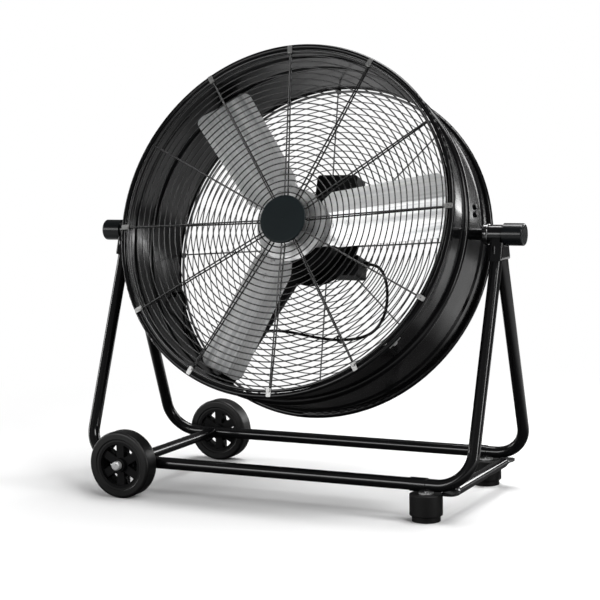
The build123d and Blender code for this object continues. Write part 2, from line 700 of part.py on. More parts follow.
clips = []
screws = []
for index in CLIP_POSITIONS:
    angle = 90 - index * 360 / SPOKE_COUNT + SPOKE_PHASE
    clips.append(rim_clip(angle, 0, -1))
    screws.append(clip_screw(angle, 0, -1))
save_head("front_guard_clips", *clips, *screws)

rear_face = DRUM_DEPTH
rear_rings = [ring_solid(FRAME_RING_RADIUS + FRAME_WIRE / 2, FRAME_RING_RADIUS - FRAME_WIRE / 2,
                         rear_face - FRAME_WIRE, rear_face)]
for index in range(REAR_RING_COUNT):
    radius = REAR_RING_INNER + index * (RING_OUTER - REAR_RING_INNER) / (REAR_RING_COUNT - 1)
    rear_rings.append(wire_ring(radius, REAR_RING_WIRE, rear_face - REAR_RING_WIRE))
save_head("rear_guard_rings", *rear_rings)

rear_spoke_depth = rear_face - REAR_RING_WIRE - SEAT - SPOKE_WIRE / 2
rear_spokes = []
rear_clips = []
for index in range(REAR_SPOKE_COUNT):
    angle = REAR_SPOKE_PHASE + index * 360 / REAR_SPOKE_COUNT
    run = ((REAR_PLATE_RADIUS - REAR_PLATE_LAP, rear_spoke_depth), (frame_inner, rear_spoke_depth))
    rear_spokes.append(turn(angle) * straight_wire(*run, SPOKE_WIRE))
    rear_clips.append(rim_clip(angle, rear_face, 1))
save_head("rear_guard_spokes", *rear_spokes)
save_head("rear_guard_clips", *rear_clips)
plate_front = rear_spoke_depth - SPOKE_WIRE / 2 - REAR_PLATE_THICKNESS
save_head("rear_guard_plate", rod_y(REAR_PLATE_RADIUS, plate_front, plate_front + REAR_PLATE_THICKNESS))

# ---------------------------------------------------------------- fan blades
narrow = BLADE_CHORD * CREASE_SHARE
wide = BLADE_CHORD - narrow
rise = wide * sin(radians(WIDE_PITCH)) + narrow * sin(radians(NARROW_PITCH))
span = wide * cos(radians(WIDE_PITCH)) + narrow * cos(radians(NARROW_PITCH))
trailing_edge = Vector(span / 2, BLADE_DEPTH - rise / 2)
crease = trailing_edge + Vector(-narrow * cos(radians(NARROW_PITCH)), narrow * sin(radians(NARROW_PITCH)))
leading_edge = crease + Vector(-wide * cos(radians(WIDE_PITCH)), wide * sin(radians(WIDE_PITCH)))
wide_normal = Vector(sin(radians(WIDE_PITCH)), cos(radians(WIDE_PITCH)))
narrow_normal = Vector(sin(radians(NARROW_PITCH)), cos(radians(NARROW_PITCH)))


def blade_line(offset):
    """Blade's section line, moved back by an offset: trailing edge, crease, leading edge."""
    mitre = (wide_normal + narrow_normal) / (1 + wide_normal.dot(narrow_normal))
    return (trailing_edge + narrow_normal * offset, crease + mitre * offset, leading_edge + wide_normal * offset)


def section_solid(corners, start, end):
    """Prism along the blade from (height, depth) corners."""
    points = [(0, corner.Y, corner.X) for corner in corners]
    face = make_face(Polyline(*points, close=True))
    return Pos(start, 0, 0) * extrude(face, end - start, dir=(1, 0, 0))


def blade():
    """Folded blade at three o'clock."""
    section = [*blade_line(0), *reversed(blade_line(BLADE_SHEET))]
    sheet = section_solid(section, 0, BLADE_TIP + 20)
    half = span / 2
    plan = Polyline((BLADE_ROOT, ROOT_HALF_WIDTH), (SHOULDER_RADIUS, SHOULDER_HALF_WIDTH), (BLADE_TIP, half),
                    (BLADE_TIP, -half), (SHOULDER_RADIUS, -SHOULDER_HALF_WIDTH), (BLADE_ROOT, -ROOT_HALF_WIDTH),
                    close=True)
    outline = make_face(plan)
    outline = fillet(outline.vertices().group_by(Axis.X)[-1], BLADE_TIP_ROUND)
    cutter = Plane.XZ * outline
    return sheet & extrude(cutter, -2 * BLADE_DEPTH)


def on_wide_panel(radius, height, offset):
    """Point on the wide panel's face and the panel's normal."""
    share = (crease.X - height) / cos(radians(WIDE_PITCH))
    foot_point = crease + Vector(-share * cos(radians(WIDE_PITCH)), share * sin(radians(WIDE_PITCH)))
    point = foot_point + wide_normal * offset
    return Plane(origin=(radius, point.Y, point.X), z_dir=(0, wide_normal.Y, wide_normal.X))


def rivets():
    """Two rows of rivets through blade and arm, drawn at three o'clock."""
    out = []
    grip = BLADE_SHEET + SPIDER_ARM_SHEET
    for radius in RIVET_RADII:
        for height in RIVET_OFFSETS:
            face = on_wide_panel(radius, height, 0)
            shank = extrude(face * Circle(RIVET_RADIUS), grip)
            head = extrude(face * Circle(RIVET_HEAD_RADIUS), -RIVET_HEAD)
            head = fillet(head.faces().sort_by(Axis.Y)[0].edges(), RIVET_HEAD * 0.6)
            tail = extrude(on_wide_panel(radius, height, grip) * Circle(RIVET_HEAD_RADIUS - 1), RIVET_HEAD)
            out.append(shank + head + tail)
    return out


def rivet_holes():
    holes = Part()
    for radius in RIVET_RADII:
        for height in RIVET_OFFSETS:
            start = on_wide_panel(radius, height, -5)
            holes += extrude(start * Circle(RIVET_RADIUS), 10 + BLADE_SHEET + SPIDER_ARM_SHEET)
    return holes


hub_back = BLADE_DEPTH + SPIDER_HUB_BACK
hub_front = hub_back - SPIDER_HUB_LENGTH
step_front = hub_front - SPIDER_STEP


def hub_disc():
    """Spun disc on the hub's face, its edge dished back towards the blade roots."""
    inner = SHAFT_RADIUS + SPIDER_STEP / 2
    back = hub_front + HUB_DISC_SHEET
    return turned((inner, hub_front), (HUB_DISC_FLAT, hub_front), (HUB_DISC_RADIUS, hub_front + HUB_DISC_DROP),
                  (HUB_DISC_RADIUS, back + HUB_DISC_DROP), (HUB_DISC_FLAT, back), (inner, back))


def spider():
    """Cast hub with its spun disc and three riveting arms behind the blades."""
    hub_body = rod_y(SPIDER_HUB_RADIUS, hub_front, hub_back)
    step = rod_y(SHAFT_RADIUS + SPIDER_STEP, step_front, hub_front)
    step = fillet(step.edges().group_by(Axis.Y)[0], SPIDER_HUB_ROUND)
    arm_middle = sum(RIVET_OFFSETS) / len(RIVET_OFFSETS)
    lines = [on_wide_panel(0, arm_middle + side * SPIDER_ARM_HALF_WIDTH, offset).origin
             for side, offset in ((1, BLADE_SHEET), (-1, BLADE_SHEET))]
    thick = wide_normal * SPIDER_ARM_SHEET
    corners = [Vector(point.Z, point.Y) for point in lines]
    corners += [corner + thick for corner in reversed(corners)]
    out = hub_body + step + hub_disc()
    for index in range(BLADE_COUNT):
        angle = BLADE_PHASE + index * 360 / BLADE_COUNT
        arm = section_solid(corners, SPIDER_HUB_RADIUS / 2, SPIDER_ARM_REACH) - rivet_holes()
        out += turn(angle) * arm
    return out - rod_y(SHAFT_RADIUS, 0, DRUM_DEPTH)


plain_blade = blade() - rivet_holes()
all_rivets = []
for index in range(BLADE_COUNT):
    angle = BLADE_PHASE + index * 360 / BLADE_COUNT
    save_head(f"blade_{index + 1}", turn(angle) * plain_blade)
    all_rivets += [turn(angle) * rivet for rivet in rivets()]
save_head("blade_spider", spider())

# ---------------------------------------------------------------- motor
motor_back = MOTOR_FRONT + MOTOR_LENGTH
bell_front = MOTOR_FRONT - BELL_LENGTH
bell_back = motor_back + BELL_LENGTH
seat_front = bell_front + 2
seat_back = bell_back - 2


def end_bell():
    """Front end bell: domed, with the bearing seat on its inner side."""
    profile = ((SHAFT_RADIUS + 2, bell_front), (BELL_NOSE_RADIUS, bell_front), (MOTOR_RADIUS - 3, MOTOR_FRONT - 6),
               (MOTOR_RADIUS, MOTOR_FRONT - 3), (MOTOR_RADIUS, MOTOR_FRONT), (MOTOR_RADIUS - MOTOR_WALL, MOTOR_FRONT),
               (MOTOR_RADIUS - 8, MOTOR_FRONT - 5), (BELL_NOSE_RADIUS, bell_front + 4),
               (BEARING_RADIUS + 4, bell_front + 4), (BEARING_RADIUS + 4, seat_front + BEARING_WIDTH),
               (BEARING_RADIUS, seat_front + BEARING_WIDTH), (BEARING_RADIUS, seat_front),
               (SHAFT_RADIUS + 2, seat_front))
    return turned(*profile)


def bearing(front):
    return ring_solid(BEARING_RADIUS, SHAFT_RADIUS + RUNNING_FIT, front, front + BEARING_WIDTH)


bell = end_bell()
middle = Plane(origin=(0, MOTOR_FRONT + MOTOR_LENGTH / 2, 0), z_dir=(0, 1, 0))
shaft_back = seat_back - 1
stator_start = MOTOR_FRONT + (MOTOR_LENGTH - STATOR_LENGTH) / 2
stator_end = stator_start + STATOR_LENGTH
rear_bell = mirror(bell, middle) + rod_y(SHAFT_RADIUS + 2, seat_back, bell_back)
save_head("motor_bells", bell, rear_bell)
save_head("motor_body", ring_solid(MOTOR_RADIUS, MOTOR_RADIUS - MOTOR_WALL, MOTOR_FRONT, motor_back))
save_head("motor_stator", ring_solid(MOTOR_RADIUS - MOTOR_WALL, STATOR_BORE, stator_start, stator_end))
save_head("motor_rotor_core", ring_solid(STATOR_BORE - AIR_GAP, SHAFT_RADIUS, stator_start, stator_end))
save_head("motor_bearings", bearing(seat_front), bearing(seat_back - BEARING_WIDTH))


def hub_bolt(radius_gap=0.0):
    """Bolt and washer that hold the spider on the shaft; the gap makes the shaft's tapped hole."""
    washer_front = step_front - HUB_WASHER
    if radius_gap > 0:
        return rod_y(HUB_BOLT_RADIUS + radius_gap, washer_front, washer_front + HUB_BOLT_LENGTH + 1)
    shank = rod_y(HUB_BOLT_RADIUS, washer_front, washer_front + HUB_BOLT_LENGTH)
    hexagon = RegularPolygon(HUB_BOLT_FLAT, 6, major_radius=False)
    head = Pos(0, washer_front - HUB_BOLT_HEAD, 0) * extrude(Plane.XZ * hexagon, -HUB_BOLT_HEAD)
    flat_washer = rod_y(HUB_WASHER_RADIUS, washer_front, step_front)
    return shank + head + flat_washer


shaft = rod_y(SHAFT_RADIUS, step_front + SHAFT_END_GAP, shaft_back) - hub_bolt(RUNNING_FIT)
save_head("motor_shaft", shaft)
save_head("rotor_fasteners", *all_rivets, hub_bolt())


def motor_bracket():
    """Pressed ring round the motor with three ribbed arms bolted to the drum wall."""
    back = BRACKET_DEPTH + BRACKET_SHEET
    out = ring_solid(MOTOR_RADIUS + BRACKET_RING_WALL, MOTOR_RADIUS, BRACKET_DEPTH, back)
    wall = WALL_RADIUS - SHEET
    start = MOTOR_RADIUS + BRACKET_RING_WALL / 2
    corner = (Align.MIN, Align.MIN, Align.CENTER)
    foot_start = wall - BRACKET_FOOT_SHEET
    for angle in BRACKET_ANGLES:
        arm = Pos(start, BRACKET_DEPTH, 0) * Box(wall - start, BRACKET_SHEET, BRACKET_ARM_WIDTH, align=corner)
        for side in (-1, 1):
            offset = side * (BRACKET_ARM_WIDTH - BRACKET_SHEET) / 2
            rib = Box(wall - start, BRACKET_RIB_HEIGHT, BRACKET_SHEET, align=corner)
            arm += Pos(start, BRACKET_DEPTH, offset) * rib
        foot_plate = Box(BRACKET_FOOT_SHEET, BRACKET_FOOT + BRACKET_SHEET, BRACKET_ARM_WIDTH, align=corner)
        arm += Pos(foot_start, BRACKET_DEPTH - BRACKET_FOOT, 0) * foot_plate
        out += turn(angle) * arm
    out = out & rod_y(wall, 0, DRUM_DEPTH)
    return out - rod_y(MOTOR_RADIUS, 0, DRUM_DEPTH)


def bracket_bolt_places():
    places = []
    for angle in BRACKET_ANGLES:
        for side in (-1, 1):
            place = Pos(0, BRACKET_DEPTH - BRACKET_FOOT / 2, side * BRACKET_ARM_WIDTH / 4)
            places.append(turn(angle) * place)
    return places


def bracket_bolt():
    """Bolt through the foot of an arm and the drum wall, its head outside."""
    start = WALL_RADIUS + BOLT_SEAT
    shank = rod_x(BOLT_RADIUS, WALL_RADIUS - SHEET - BOLT_GRIP, start)
    head = rod_x(BOLT_HEAD_RADIUS, start, start + BOLT_HEAD)
    return shank + fillet(head.edges().group_by(Axis.X)[-1], BOLT_ROUND)


bracket = motor_bracket()
bolt_hole = rod_x(BOLT_RADIUS, WALL_RADIUS - SHEET - 2 * BOLT_GRIP, WALL_RADIUS + BOLT_HEAD)
for place in bracket_bolt_places():
    bracket -= place * bolt_hole
    shell -= place * bolt_hole
save_head("motor_bracket", bracket)


def rounded_box(width, depth, height, radius):
    """Moulded box with its corners along the depth rounded."""
    box = Box(width, depth, height)
    return fillet(box.edges().filter_by(Axis.Y), radius)


def capacitor_box():
    """Capacitor cover on top of the motor."""
    height = CAPACITOR_TOP - MOTOR_RADIUS / 2
    centre = Pos(CAPACITOR_OFFSET, CAPACITOR_FRONT + CAPACITOR_DEPTH / 2, CAPACITOR_TOP - height / 2)
    box = centre * rounded_box(CAPACITOR_WIDTH, CAPACITOR_DEPTH, height, BOX_ROUND)
    return box - rod_y(MOTOR_RADIUS, 0, DRUM_DEPTH)


def terminal_box():
    """Terminal cover on the lower right of the motor."""
    box = Pos(*TERMINAL_CENTRE) * rounded_box(*TERMINAL_SIZE, BOX_ROUND)
    return box - rod_y(MOTOR_RADIUS, 0, DRUM_DEPTH)


save_head("capacitor_box", capacitor_box())
save_head("terminal_box", terminal_box())


# ---------------------------------------------------------------- motor lead
terminal_side = TERMINAL_CENTRE[0] + TERMINAL_SIZE[0] / 2
lead_start = terminal_side + GLAND_LENGTH
arm_back = BRACKET_DEPTH + BRACKET_SHEET
wall_inner = WALL_RADIUS - SHEET


def around(radius, angle, depth, across=0.0):
    """Point at a radius and an angle inside the drum, moved across towards larger angles."""
    turned_to = radians(angle)
    return (radius * cos(turned_to) - across * sin(turned_to), depth,
            radius * sin(turned_to) + across * cos(turned_to))


def on_arm(outward, height):
    """Point over the lower arm, counted from the middle of its clip."""
    return around(ARM_CLIP_RADIUS + outward, BRACKET_ANGLES[-1], arm_back + height)


def on_wall(angle):
    """Point over the inside of the drum wall, as high as the clips hold the lead."""
    return around(wall_inner - LEAD_HEIGHT + 0.15, angle, WALL_EXIT_DEPTH)


def at_exit(inward, across):
    """Point near the lead's exit, counted from the wall's inner face."""
    return around(wall_inner - inward, SWITCH_ANGLE, WALL_EXIT_DEPTH, across)


def tube_radii(points):
    """Largest arcs that two runs allow at each corner of a route."""
    radii = []
    for before, corner, after in zip(points, points[1:], points[2:]):
        first = Vector(*corner) - Vector(*before)
        second = Vector(*after) - Vector(*corner)
        half_turn = radians(first.get_angle(second)) / 2
        radii.append(0.45 * min(first.length, second.length) / tan(half_turn))
    return radii


loop_depth = rear_face - LOOP_GAP
lead_points = [
    (lead_start, GLAND_DEPTH, GLAND_HEIGHT),
    (lead_start + 19, GLAND_DEPTH, GLAND_HEIGHT),
    (136, loop_depth - 13.5, -63),
    (141, loop_depth - 7.5, -96),
    (138, loop_depth - 2.5, -131),
    (121, loop_depth - 0.5, -162),
    (92, loop_depth, -177),
    (48, loop_depth, -182.5),
    (5, loop_depth - 1.5, -180),
    (-36, loop_depth - 9.5, -174),
    (-70, loop_depth - 21.5, -172),
    on_arm(-44, 17),
    on_arm(-15, LEAD_HEIGHT),
    on_arm(15, LEAD_HEIGHT),
    on_arm(39, 9.5),
    around(wall_inner - 14, 237.6, WALL_EXIT_DEPTH - 1),
    on_wall(232.5),
    on_wall(227.5),
    on_wall(222.5),
    on_wall(217.5),
    on_wall(212.5),
    at_exit(11.4, 45),
    at_exit(20.4, 24),
    at_exit(21.4, 9),
    at_exit(11.4, 0),
    at_exit(-SHEET + SEAT, 0),
]
lead_radii = tube_radii(lead_points)
print("lead arcs", [round(radius) for radius in lead_radii])
lead_path = FilletPolyline(*lead_points, radius=lead_radii)
lead = swept_bar(lead_path, LEAD_RADIUS)
print("lead length", round(lead_path.length), "volume ratio",
      round(lead.volume / (pi * LEAD_RADIUS ** 2 * lead_path.length), 4))
save_head("motor_lead", lead)


def lead_gland():
    """Gland on the terminal box."""
    gland = rod_x(GLAND_RADIUS, terminal_side, lead_start, GLAND_DEPTH, GLAND_HEIGHT)
    return fillet(gland.edges().group_by(Axis.X)[-1], 1.5)


def lead_grommet():
    """Grommet in the drum wall round the lead."""
    face = wall_inner - SEAT
    flange = rod_x(GROMMET_RADIUS, face - GROMMET_FLANGE, face, WALL_EXIT_DEPTH)
    neck = rod_x(GROMMET_NECK - SEAT / 2, face, WALL_RADIUS, WALL_EXIT_DEPTH)
    bore = rod_x(LEAD_RADIUS + SEAT / 2, face - 2 * GROMMET_FLANGE, WALL_RADIUS + 1, WALL_EXIT_DEPTH)
    return turn(SWITCH_ANGLE) * (flange + neck - bore)


def saddle():
    """Saddle clip, drawn on a flat face at Z = 0 with the lead running along X."""
    bore = LEAD_RADIUS + 2 * SEAT
    half = SADDLE_WIDTH / 2
    strap = rod_x(bore + SADDLE_STRAP, -half, half, z=LEAD_HEIGHT)
    strap &= Pos(0, 0, SADDLE_FEET / 2) * Box(SADDLE_WIDTH, SADDLE_FEET, SADDLE_FEET)
    feet = Pos(0, 0, SADDLE_STRAP / 2) * Box(SADDLE_WIDTH, SADDLE_FEET, SADDLE_STRAP)
    return strap + feet - rod_x(bore, -half, half, z=LEAD_HEIGHT)


def arm_clip():
    """Clip that holds the lead on the lower bracket arm."""
    on_face = Plane(origin=(ARM_CLIP_RADIUS, arm_back, 0), x_dir=(1, 0, 0), z_dir=(0, 1, 0))
    return turn(BRACKET_ANGLES[-1]) * (on_face.location * saddle())


def wall_clip(angle):
    """Clip that holds the lead on the inside of the drum wall."""
    on_face = Plane(origin=(wall_inner - SEAT / 5, WALL_EXIT_DEPTH, 0), x_dir=(0, 0, 1), z_dir=(-1, 0, 0))
    return turn(angle) * (on_face.location * saddle())


def cable_tie():
    """Tie round the lead and one ring of the rear guard."""
    x, z = TIE_PLACE
    angle = degrees(atan2(z, x))
    radius = sqrt(x * x + z * z)
    ring_step = (RING_OUTER - REAR_RING_INNER) / (REAR_RING_COUNT - 1)
    ring_radius = REAR_RING_INNER + ring_step * int((radius - REAR_RING_INNER) / ring_step)
    inner = ring_radius - REAR_RING_WIRE - TIE_SLACK
    outer = radius + LEAD_RADIUS + 2 * SEAT
    front = loop_depth - LEAD_RADIUS - TIE_SLACK
    back = rear_face + SEAT
    hole = Pos((inner + outer) / 2, (front + back) / 2, 0) * Box(outer - inner, back - front, 2 * TIE_WIDTH)
    band = Pos((inner + outer) / 2, (front + back) / 2, 0)
    band *= Box(outer - inner + 2 * TIE_STRAP, back - front + 2 * TIE_STRAP, TIE_WIDTH)
    return turn(angle) * (band - hole)


wall_clips = [wall_clip(angle) for angle in WALL_CLIP_ANGLES]
save_head("lead_fittings", lead_gland(), lead_grommet(), arm_clip(), *wall_clips, cable_tie())

# ---------------------------------------------------------------- switch box
switch_back = SWITCH_FRONT + SWITCH_LENGTH
switch_middle = SWITCH_FRONT + SWITCH_LENGTH / 2
lid_base = WALL_RADIUS + SWITCH_HEIGHT
knob_x = WALL_RADIUS + SWITCH_STEM_HEIGHT
shell -= turn(SWITCH_ANGLE) * rod_x(GROMMET_NECK, wall_inner - 5, WALL_RADIUS + 5, WALL_EXIT_DEPTH)


def switch_box():
    """Switch housing on the outside of the wall, bored for the switch's stem."""
    base = WALL_RADIUS - SWITCH_WIDTH
    box = Pos((base + lid_base) / 2, switch_middle, 0) * Box(lid_base - base, SWITCH_LENGTH, SWITCH_WIDTH)
    box = fillet(box.edges().filter_by(Axis.X), SWITCH_CORNER)
    stem_end = switch_back - SWITCH_STEM_DEPTH
    box -= rod_y(SWITCH_STEM_RADIUS + RUNNING_FIT, stem_end, switch_back + 1, knob_x, SWITCH_STEM_SIDE)
    return turn(SWITCH_ANGLE) * (box - envelope)


def switch_lid():
    lid = Pos(lid_base + SWITCH_LID / 2, switch_middle, 0) * Box(SWITCH_LID, SWITCH_LENGTH, SWITCH_WIDTH)
    lid = fillet(lid.edges().filter_by(Axis.X), SWITCH_CORNER)
    return turn(SWITCH_ANGLE) * fillet(lid.edges().group_by(Axis.X)[-1], SWITCH_LID / 2)


def lid_screws():
    out = []
    top = lid_base + SWITCH_LID
    for along in (-1, 1):
        for across in (-1, 1):
            y = switch_middle + along * (SWITCH_LENGTH / 2 - LID_SCREW_INSET)
            z = across * (SWITCH_WIDTH / 2 - LID_SCREW_INSET)
            out.append(turn(SWITCH_ANGLE) * rod_x(LID_SCREW_RADIUS, top, top + LID_SCREW_HEAD, y, z))
    return out


def speed_knob():
    """Knob with a pointer rib, and its stem in the box."""
    start = switch_back + SIDE_PLAY
    grip = rod_y(SWITCH_KNOB_RADIUS, start, start + SWITCH_KNOB_LENGTH, knob_x, SWITCH_STEM_SIDE)
    grip = fillet(grip.edges().group_by(Axis.Y)[-1], SWITCH_KNOB_ROUND)
    stem = rod_y(SWITCH_STEM_RADIUS, switch_back - SWITCH_STEM_DEPTH + SIDE_PLAY, start, knob_x, SWITCH_STEM_SIDE)
    pointer = Pos(knob_x + SWITCH_KNOB_RADIUS / 2, start + SWITCH_KNOB_LENGTH, SWITCH_STEM_SIDE)
    return turn(SWITCH_ANGLE) * (grip + stem + pointer * Box(SWITCH_KNOB_RADIUS, *POINTER_RIB))


def cord_gland():
    """Empty gland for the supply cord."""
    gland = rod_y(CORD_GLAND_RADIUS, switch_back, switch_back + CORD_GLAND_LENGTH, knob_x, -SWITCH_STEM_SIDE)
    gland = chamfer(gland.edges().group_by(Axis.Y)[-1], 2)
    bore = rod_y(CORD_BORE, switch_back + 1, switch_back + 2 * CORD_GLAND_LENGTH, knob_x, -SWITCH_STEM_SIDE)
    return turn(SWITCH_ANGLE) * (gland - bore)


save_head("switch_box", switch_box())
save_head("switch_lid", switch_lid())
save_head("drum_bolts", *[place * bracket_bolt() for place in bracket_bolt_places()], *lid_screws())
save_head("speed_knob", speed_knob())
save_head("cord_gland", cord_gland())


# ---------------------------------------------------------------- rim clasp and shell
def rim_clasp():
    """Strap and bolt over the seam of the front rim."""
    top = WALL_RADIUS + END_ZONE_RISE + CLASP_SHEET
    height = CLASP_GRIP + CLASP_SHEET
    strap = Pos(top - height / 2, CLASP_DEPTH, 0) * Box(height, CLASP_WIDTH, CLASP_LENGTH)
    head = rod_x(CLASP_BOLT_RADIUS, top, top + CLASP_BOLT_HEAD, CLASP_DEPTH)
    return turn(CLASP_ANGLE) * (strap - rod_y(WALL_RADIUS + END_ZONE_RISE, -1, END_ZONE_DEPTH) + head)


save_head("rim_clasp", rim_clasp())
save_head("drum_shell", shell)
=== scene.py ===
"""Looks of the drum fan: finishes, wire guards, hub cap, motor lead and the studio round it."""

import json
from math import cos, pi, radians, sin

import bpy
from bpy.props import FloatProperty, FloatVectorProperty, IntProperty, PointerProperty
from bpy.types import Operator, Panel, PropertyGroup
from mathutils import Matrix, Vector


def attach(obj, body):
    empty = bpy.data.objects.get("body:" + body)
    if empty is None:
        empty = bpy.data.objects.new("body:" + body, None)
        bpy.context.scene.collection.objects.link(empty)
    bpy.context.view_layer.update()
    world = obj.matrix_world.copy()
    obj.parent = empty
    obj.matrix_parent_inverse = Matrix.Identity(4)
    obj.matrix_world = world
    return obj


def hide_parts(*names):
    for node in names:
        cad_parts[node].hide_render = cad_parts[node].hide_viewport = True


bl_info = {
    "name": "Drum fan looks",
    "version": (1, 0, 0),
    "blender": (4, 5, 0),
    "location": "View3D > Sidebar > Drum fan",
    "description": "Finishes, wire guards, hub cap, motor lead and studio for a tilting drum fan",
    "category": "Object",
}

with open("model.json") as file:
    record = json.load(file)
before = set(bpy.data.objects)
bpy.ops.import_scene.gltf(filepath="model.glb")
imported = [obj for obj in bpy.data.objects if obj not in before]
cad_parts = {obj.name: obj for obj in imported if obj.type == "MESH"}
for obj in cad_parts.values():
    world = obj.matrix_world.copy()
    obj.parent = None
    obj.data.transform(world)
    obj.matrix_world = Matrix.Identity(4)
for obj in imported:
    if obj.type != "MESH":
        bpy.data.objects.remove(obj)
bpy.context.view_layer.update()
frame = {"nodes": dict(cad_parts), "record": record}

# The drum's own frame: X along the tilt axis, Y backwards from the front lip along the drum's axis.
TILT = radians(18.25)
TILT_AXIS_HEIGHT = 0.487
LIP_TO_TILT_AXIS = 0.105
HEAD = (Matrix.Translation((0, 0, TILT_AXIS_HEIGHT)) @ Matrix.Rotation(-TILT, 4, "X")
        @ Matrix.Translation((0, -LIP_TO_TILT_AXIS, 0)))
DRUM_DEPTH = 0.228
FRAME_RING_RADIUS = 0.319
FRAME_WIRE = 0.005
BACK_FRAME_DEPTH = 0.0095
HUB_CAP_RADIUS = 0.0455
HUB_PLATE_INSET = 0.006
FRONT_SPOKE_PHASE = 94.0
FRONT_SPOKE_HUB_DEPTH = 0.016
BACK_SPOKE_HUB_DEPTH = 0.031
REAR_SPOKE_PHASE = 3.5
REAR_SPOKE_START = 0.056
BLADE_PHASE = 8.0
BLADE_COUNT = 3
BLADE_TIP = 0.302
HUB_DISC_RADIUS = 0.069


def around(radius, angle, depth, across=0.0):
    """Point at a radius and an angle inside the drum, moved across towards larger angles."""
    x, z = cos(radians(angle)), sin(radians(angle))
    return (radius * x - across * z, depth, radius * z + across * x)


# Centre line of the motor lead in the drum's frame: from its gland on the terminal box in a loose loop
# to the lower bracket arm, under two clips on the drum wall and out through the grommet.
WALL_INNER = 0.3204
LEAD_DEPTH = 0.180
ARM_CLIP = (0.247, 241.0, 0.167)
EXIT_ANGLE = 200.0
LEAD_RADIUS = 0.0028


def on_arm(outward, height):
    radius, angle, face = ARM_CLIP
    return around(radius + outward, angle, face + height)


def at_exit(inward, across):
    return around(WALL_INNER - inward, EXIT_ANGLE, LEAD_DEPTH, across)


LEAD_ROUTE = [
    (0.101, 0.198, -0.038), (0.120, 0.198, -0.038), (0.136, 0.204, -0.063), (0.141, 0.210, -0.096),
    (0.138, 0.215, -0.131), (0.121, 0.217, -0.162), (0.092, 0.2175, -0.177), (0.048, 0.2175, -0.1825),
    (0.005, 0.216, -0.180), (-0.036, 0.208, -0.174), (-0.070, 0.196, -0.172),
    on_arm(-0.044, 0.017), on_arm(-0.015, 0.0034), on_arm(0.015, 0.0034), on_arm(0.039, 0.0095),
    around(WALL_INNER - 0.014, 237.6, LEAD_DEPTH - 0.001),
    *[around(WALL_INNER - 0.00325, angle, LEAD_DEPTH) for angle in (232.5, 227.5, 222.5, 217.5, 212.5)],
    at_exit(0.0114, 0.045), at_exit(0.0204, 0.024), at_exit(0.0214, 0.009), at_exit(0.0114, 0.0),
    at_exit(-0.00135, 0.0),
]


# ---------------------------------------------------------------- node trees
class Wire:
    """One output socket; arithmetic on it adds Math nodes to its tree."""

    def __init__(self, graph, socket):
        self.graph = graph
        self.socket = socket

    def other(self, name):
        """Another output of the same node."""
        return Wire(self.graph, self.socket.node.outputs[name])

    def _maths(self, operation, *terms):
        return self.graph.add("ShaderNodeMath", {"operation": operation}, dict(enumerate(terms)))

    def __add__(self, term):
        return self._maths("ADD", self, term)

    __radd__ = __add__

    def __sub__(self, term):
        return self._maths("SUBTRACT", self, term)

    def __rsub__(self, term):
        return self._maths("SUBTRACT", term, self)

    def __mul__(self, term):
        return self._maths("MULTIPLY", self, term)

    __rmul__ = __mul__

    def __truediv__(self, term):
        return self._maths("DIVIDE", self, term)

    def __rtruediv__(self, term):
        return self._maths("DIVIDE", term, self)

    def absolute(self):
        return self._maths("ABSOLUTE", self)

    def sine(self):
        return self._maths("SINE", self)

    def clamped(self):
        return self.graph.add("ShaderNodeClamp", {}, {"Value": self})


class Graph:
    """Adds nodes to one tree."""

    def __init__(self, tree):
        self.tree = tree

    def add(self, kind, settings=None, sockets=None, output=0):
        node = self.tree.nodes.new(kind)
        for name, value in (settings or {}).items():
            setattr(node, name, value)
        for name, value in (sockets or {}).items():
            if isinstance(value, Wire):
                self.tree.links.new(value.socket, node.inputs[name])
            else:
                node.inputs[name].default_value = value
        return Wire(self, node.outputs[output])

    def vector(self, x=0.0, y=0.0, z=0.0):
        return self.add("ShaderNodeCombineXYZ", {}, {"X": x, "Y": y, "Z": z})


def modifier_tree(name, inputs):
    """New geometry tree with named inputs, given as {name: (socket type, default)}."""
    tree = bpy.data.node_groups.new(name, "GeometryNodeTree")
    tree.interface.new_socket("Geometry", in_out="INPUT", socket_type="NodeSocketGeometry")
    tree.interface.new_socket("Geometry", in_out="OUTPUT", socket_type="NodeSocketGeometry")
    for label, (kind, default) in inputs.items():
        socket = tree.interface.new_socket(label, in_out="INPUT", socket_type=kind)
        if default is not None:
            socket.default_value = default
    graph = Graph(tree)
    return graph, graph.add("NodeGroupInput")


def finish_tree(graph, geometry, material):
    real = graph.add("GeometryNodeRealizeInstances", {}, {"Geometry": geometry})
    painted = graph.add("GeometryNodeSetMaterial", {}, {"Geometry": real, "Material": material})
    out = graph.tree.nodes.new("NodeGroupOutput")
    graph.tree.links.new(painted.socket, out.inputs["Geometry"])


def grown(name, tree, values, place=HEAD):
    """Run a geometry tree with these input values and keep the result as a plain mesh at its place."""
    holder = bpy.data.objects.new(name + "_source", bpy.data.meshes.new(name + "_source"))
    bpy.context.scene.collection.objects.link(holder)
    modifier = holder.modifiers.new("grow", "NODES")
    modifier.node_group = tree
    for item in tree.interface.items_tree:
        if item.in_out == "INPUT" and item.name in values:
            modifier[item.identifier] = values[item.name]
    graph = bpy.context.evaluated_depsgraph_get()
    mesh = bpy.data.meshes.new_from_object(holder.evaluated_get(graph))
    bpy.data.objects.remove(holder)
    return placed(name, mesh, place)


def placed(name, mesh, place=HEAD):
    """Object at the origin with its place in its mesh."""
    mesh.name = name
    mesh.transform(place)
    piece = bpy.data.objects.new(name, mesh)
    bpy.context.scene.collection.objects.link(piece)
    return piece


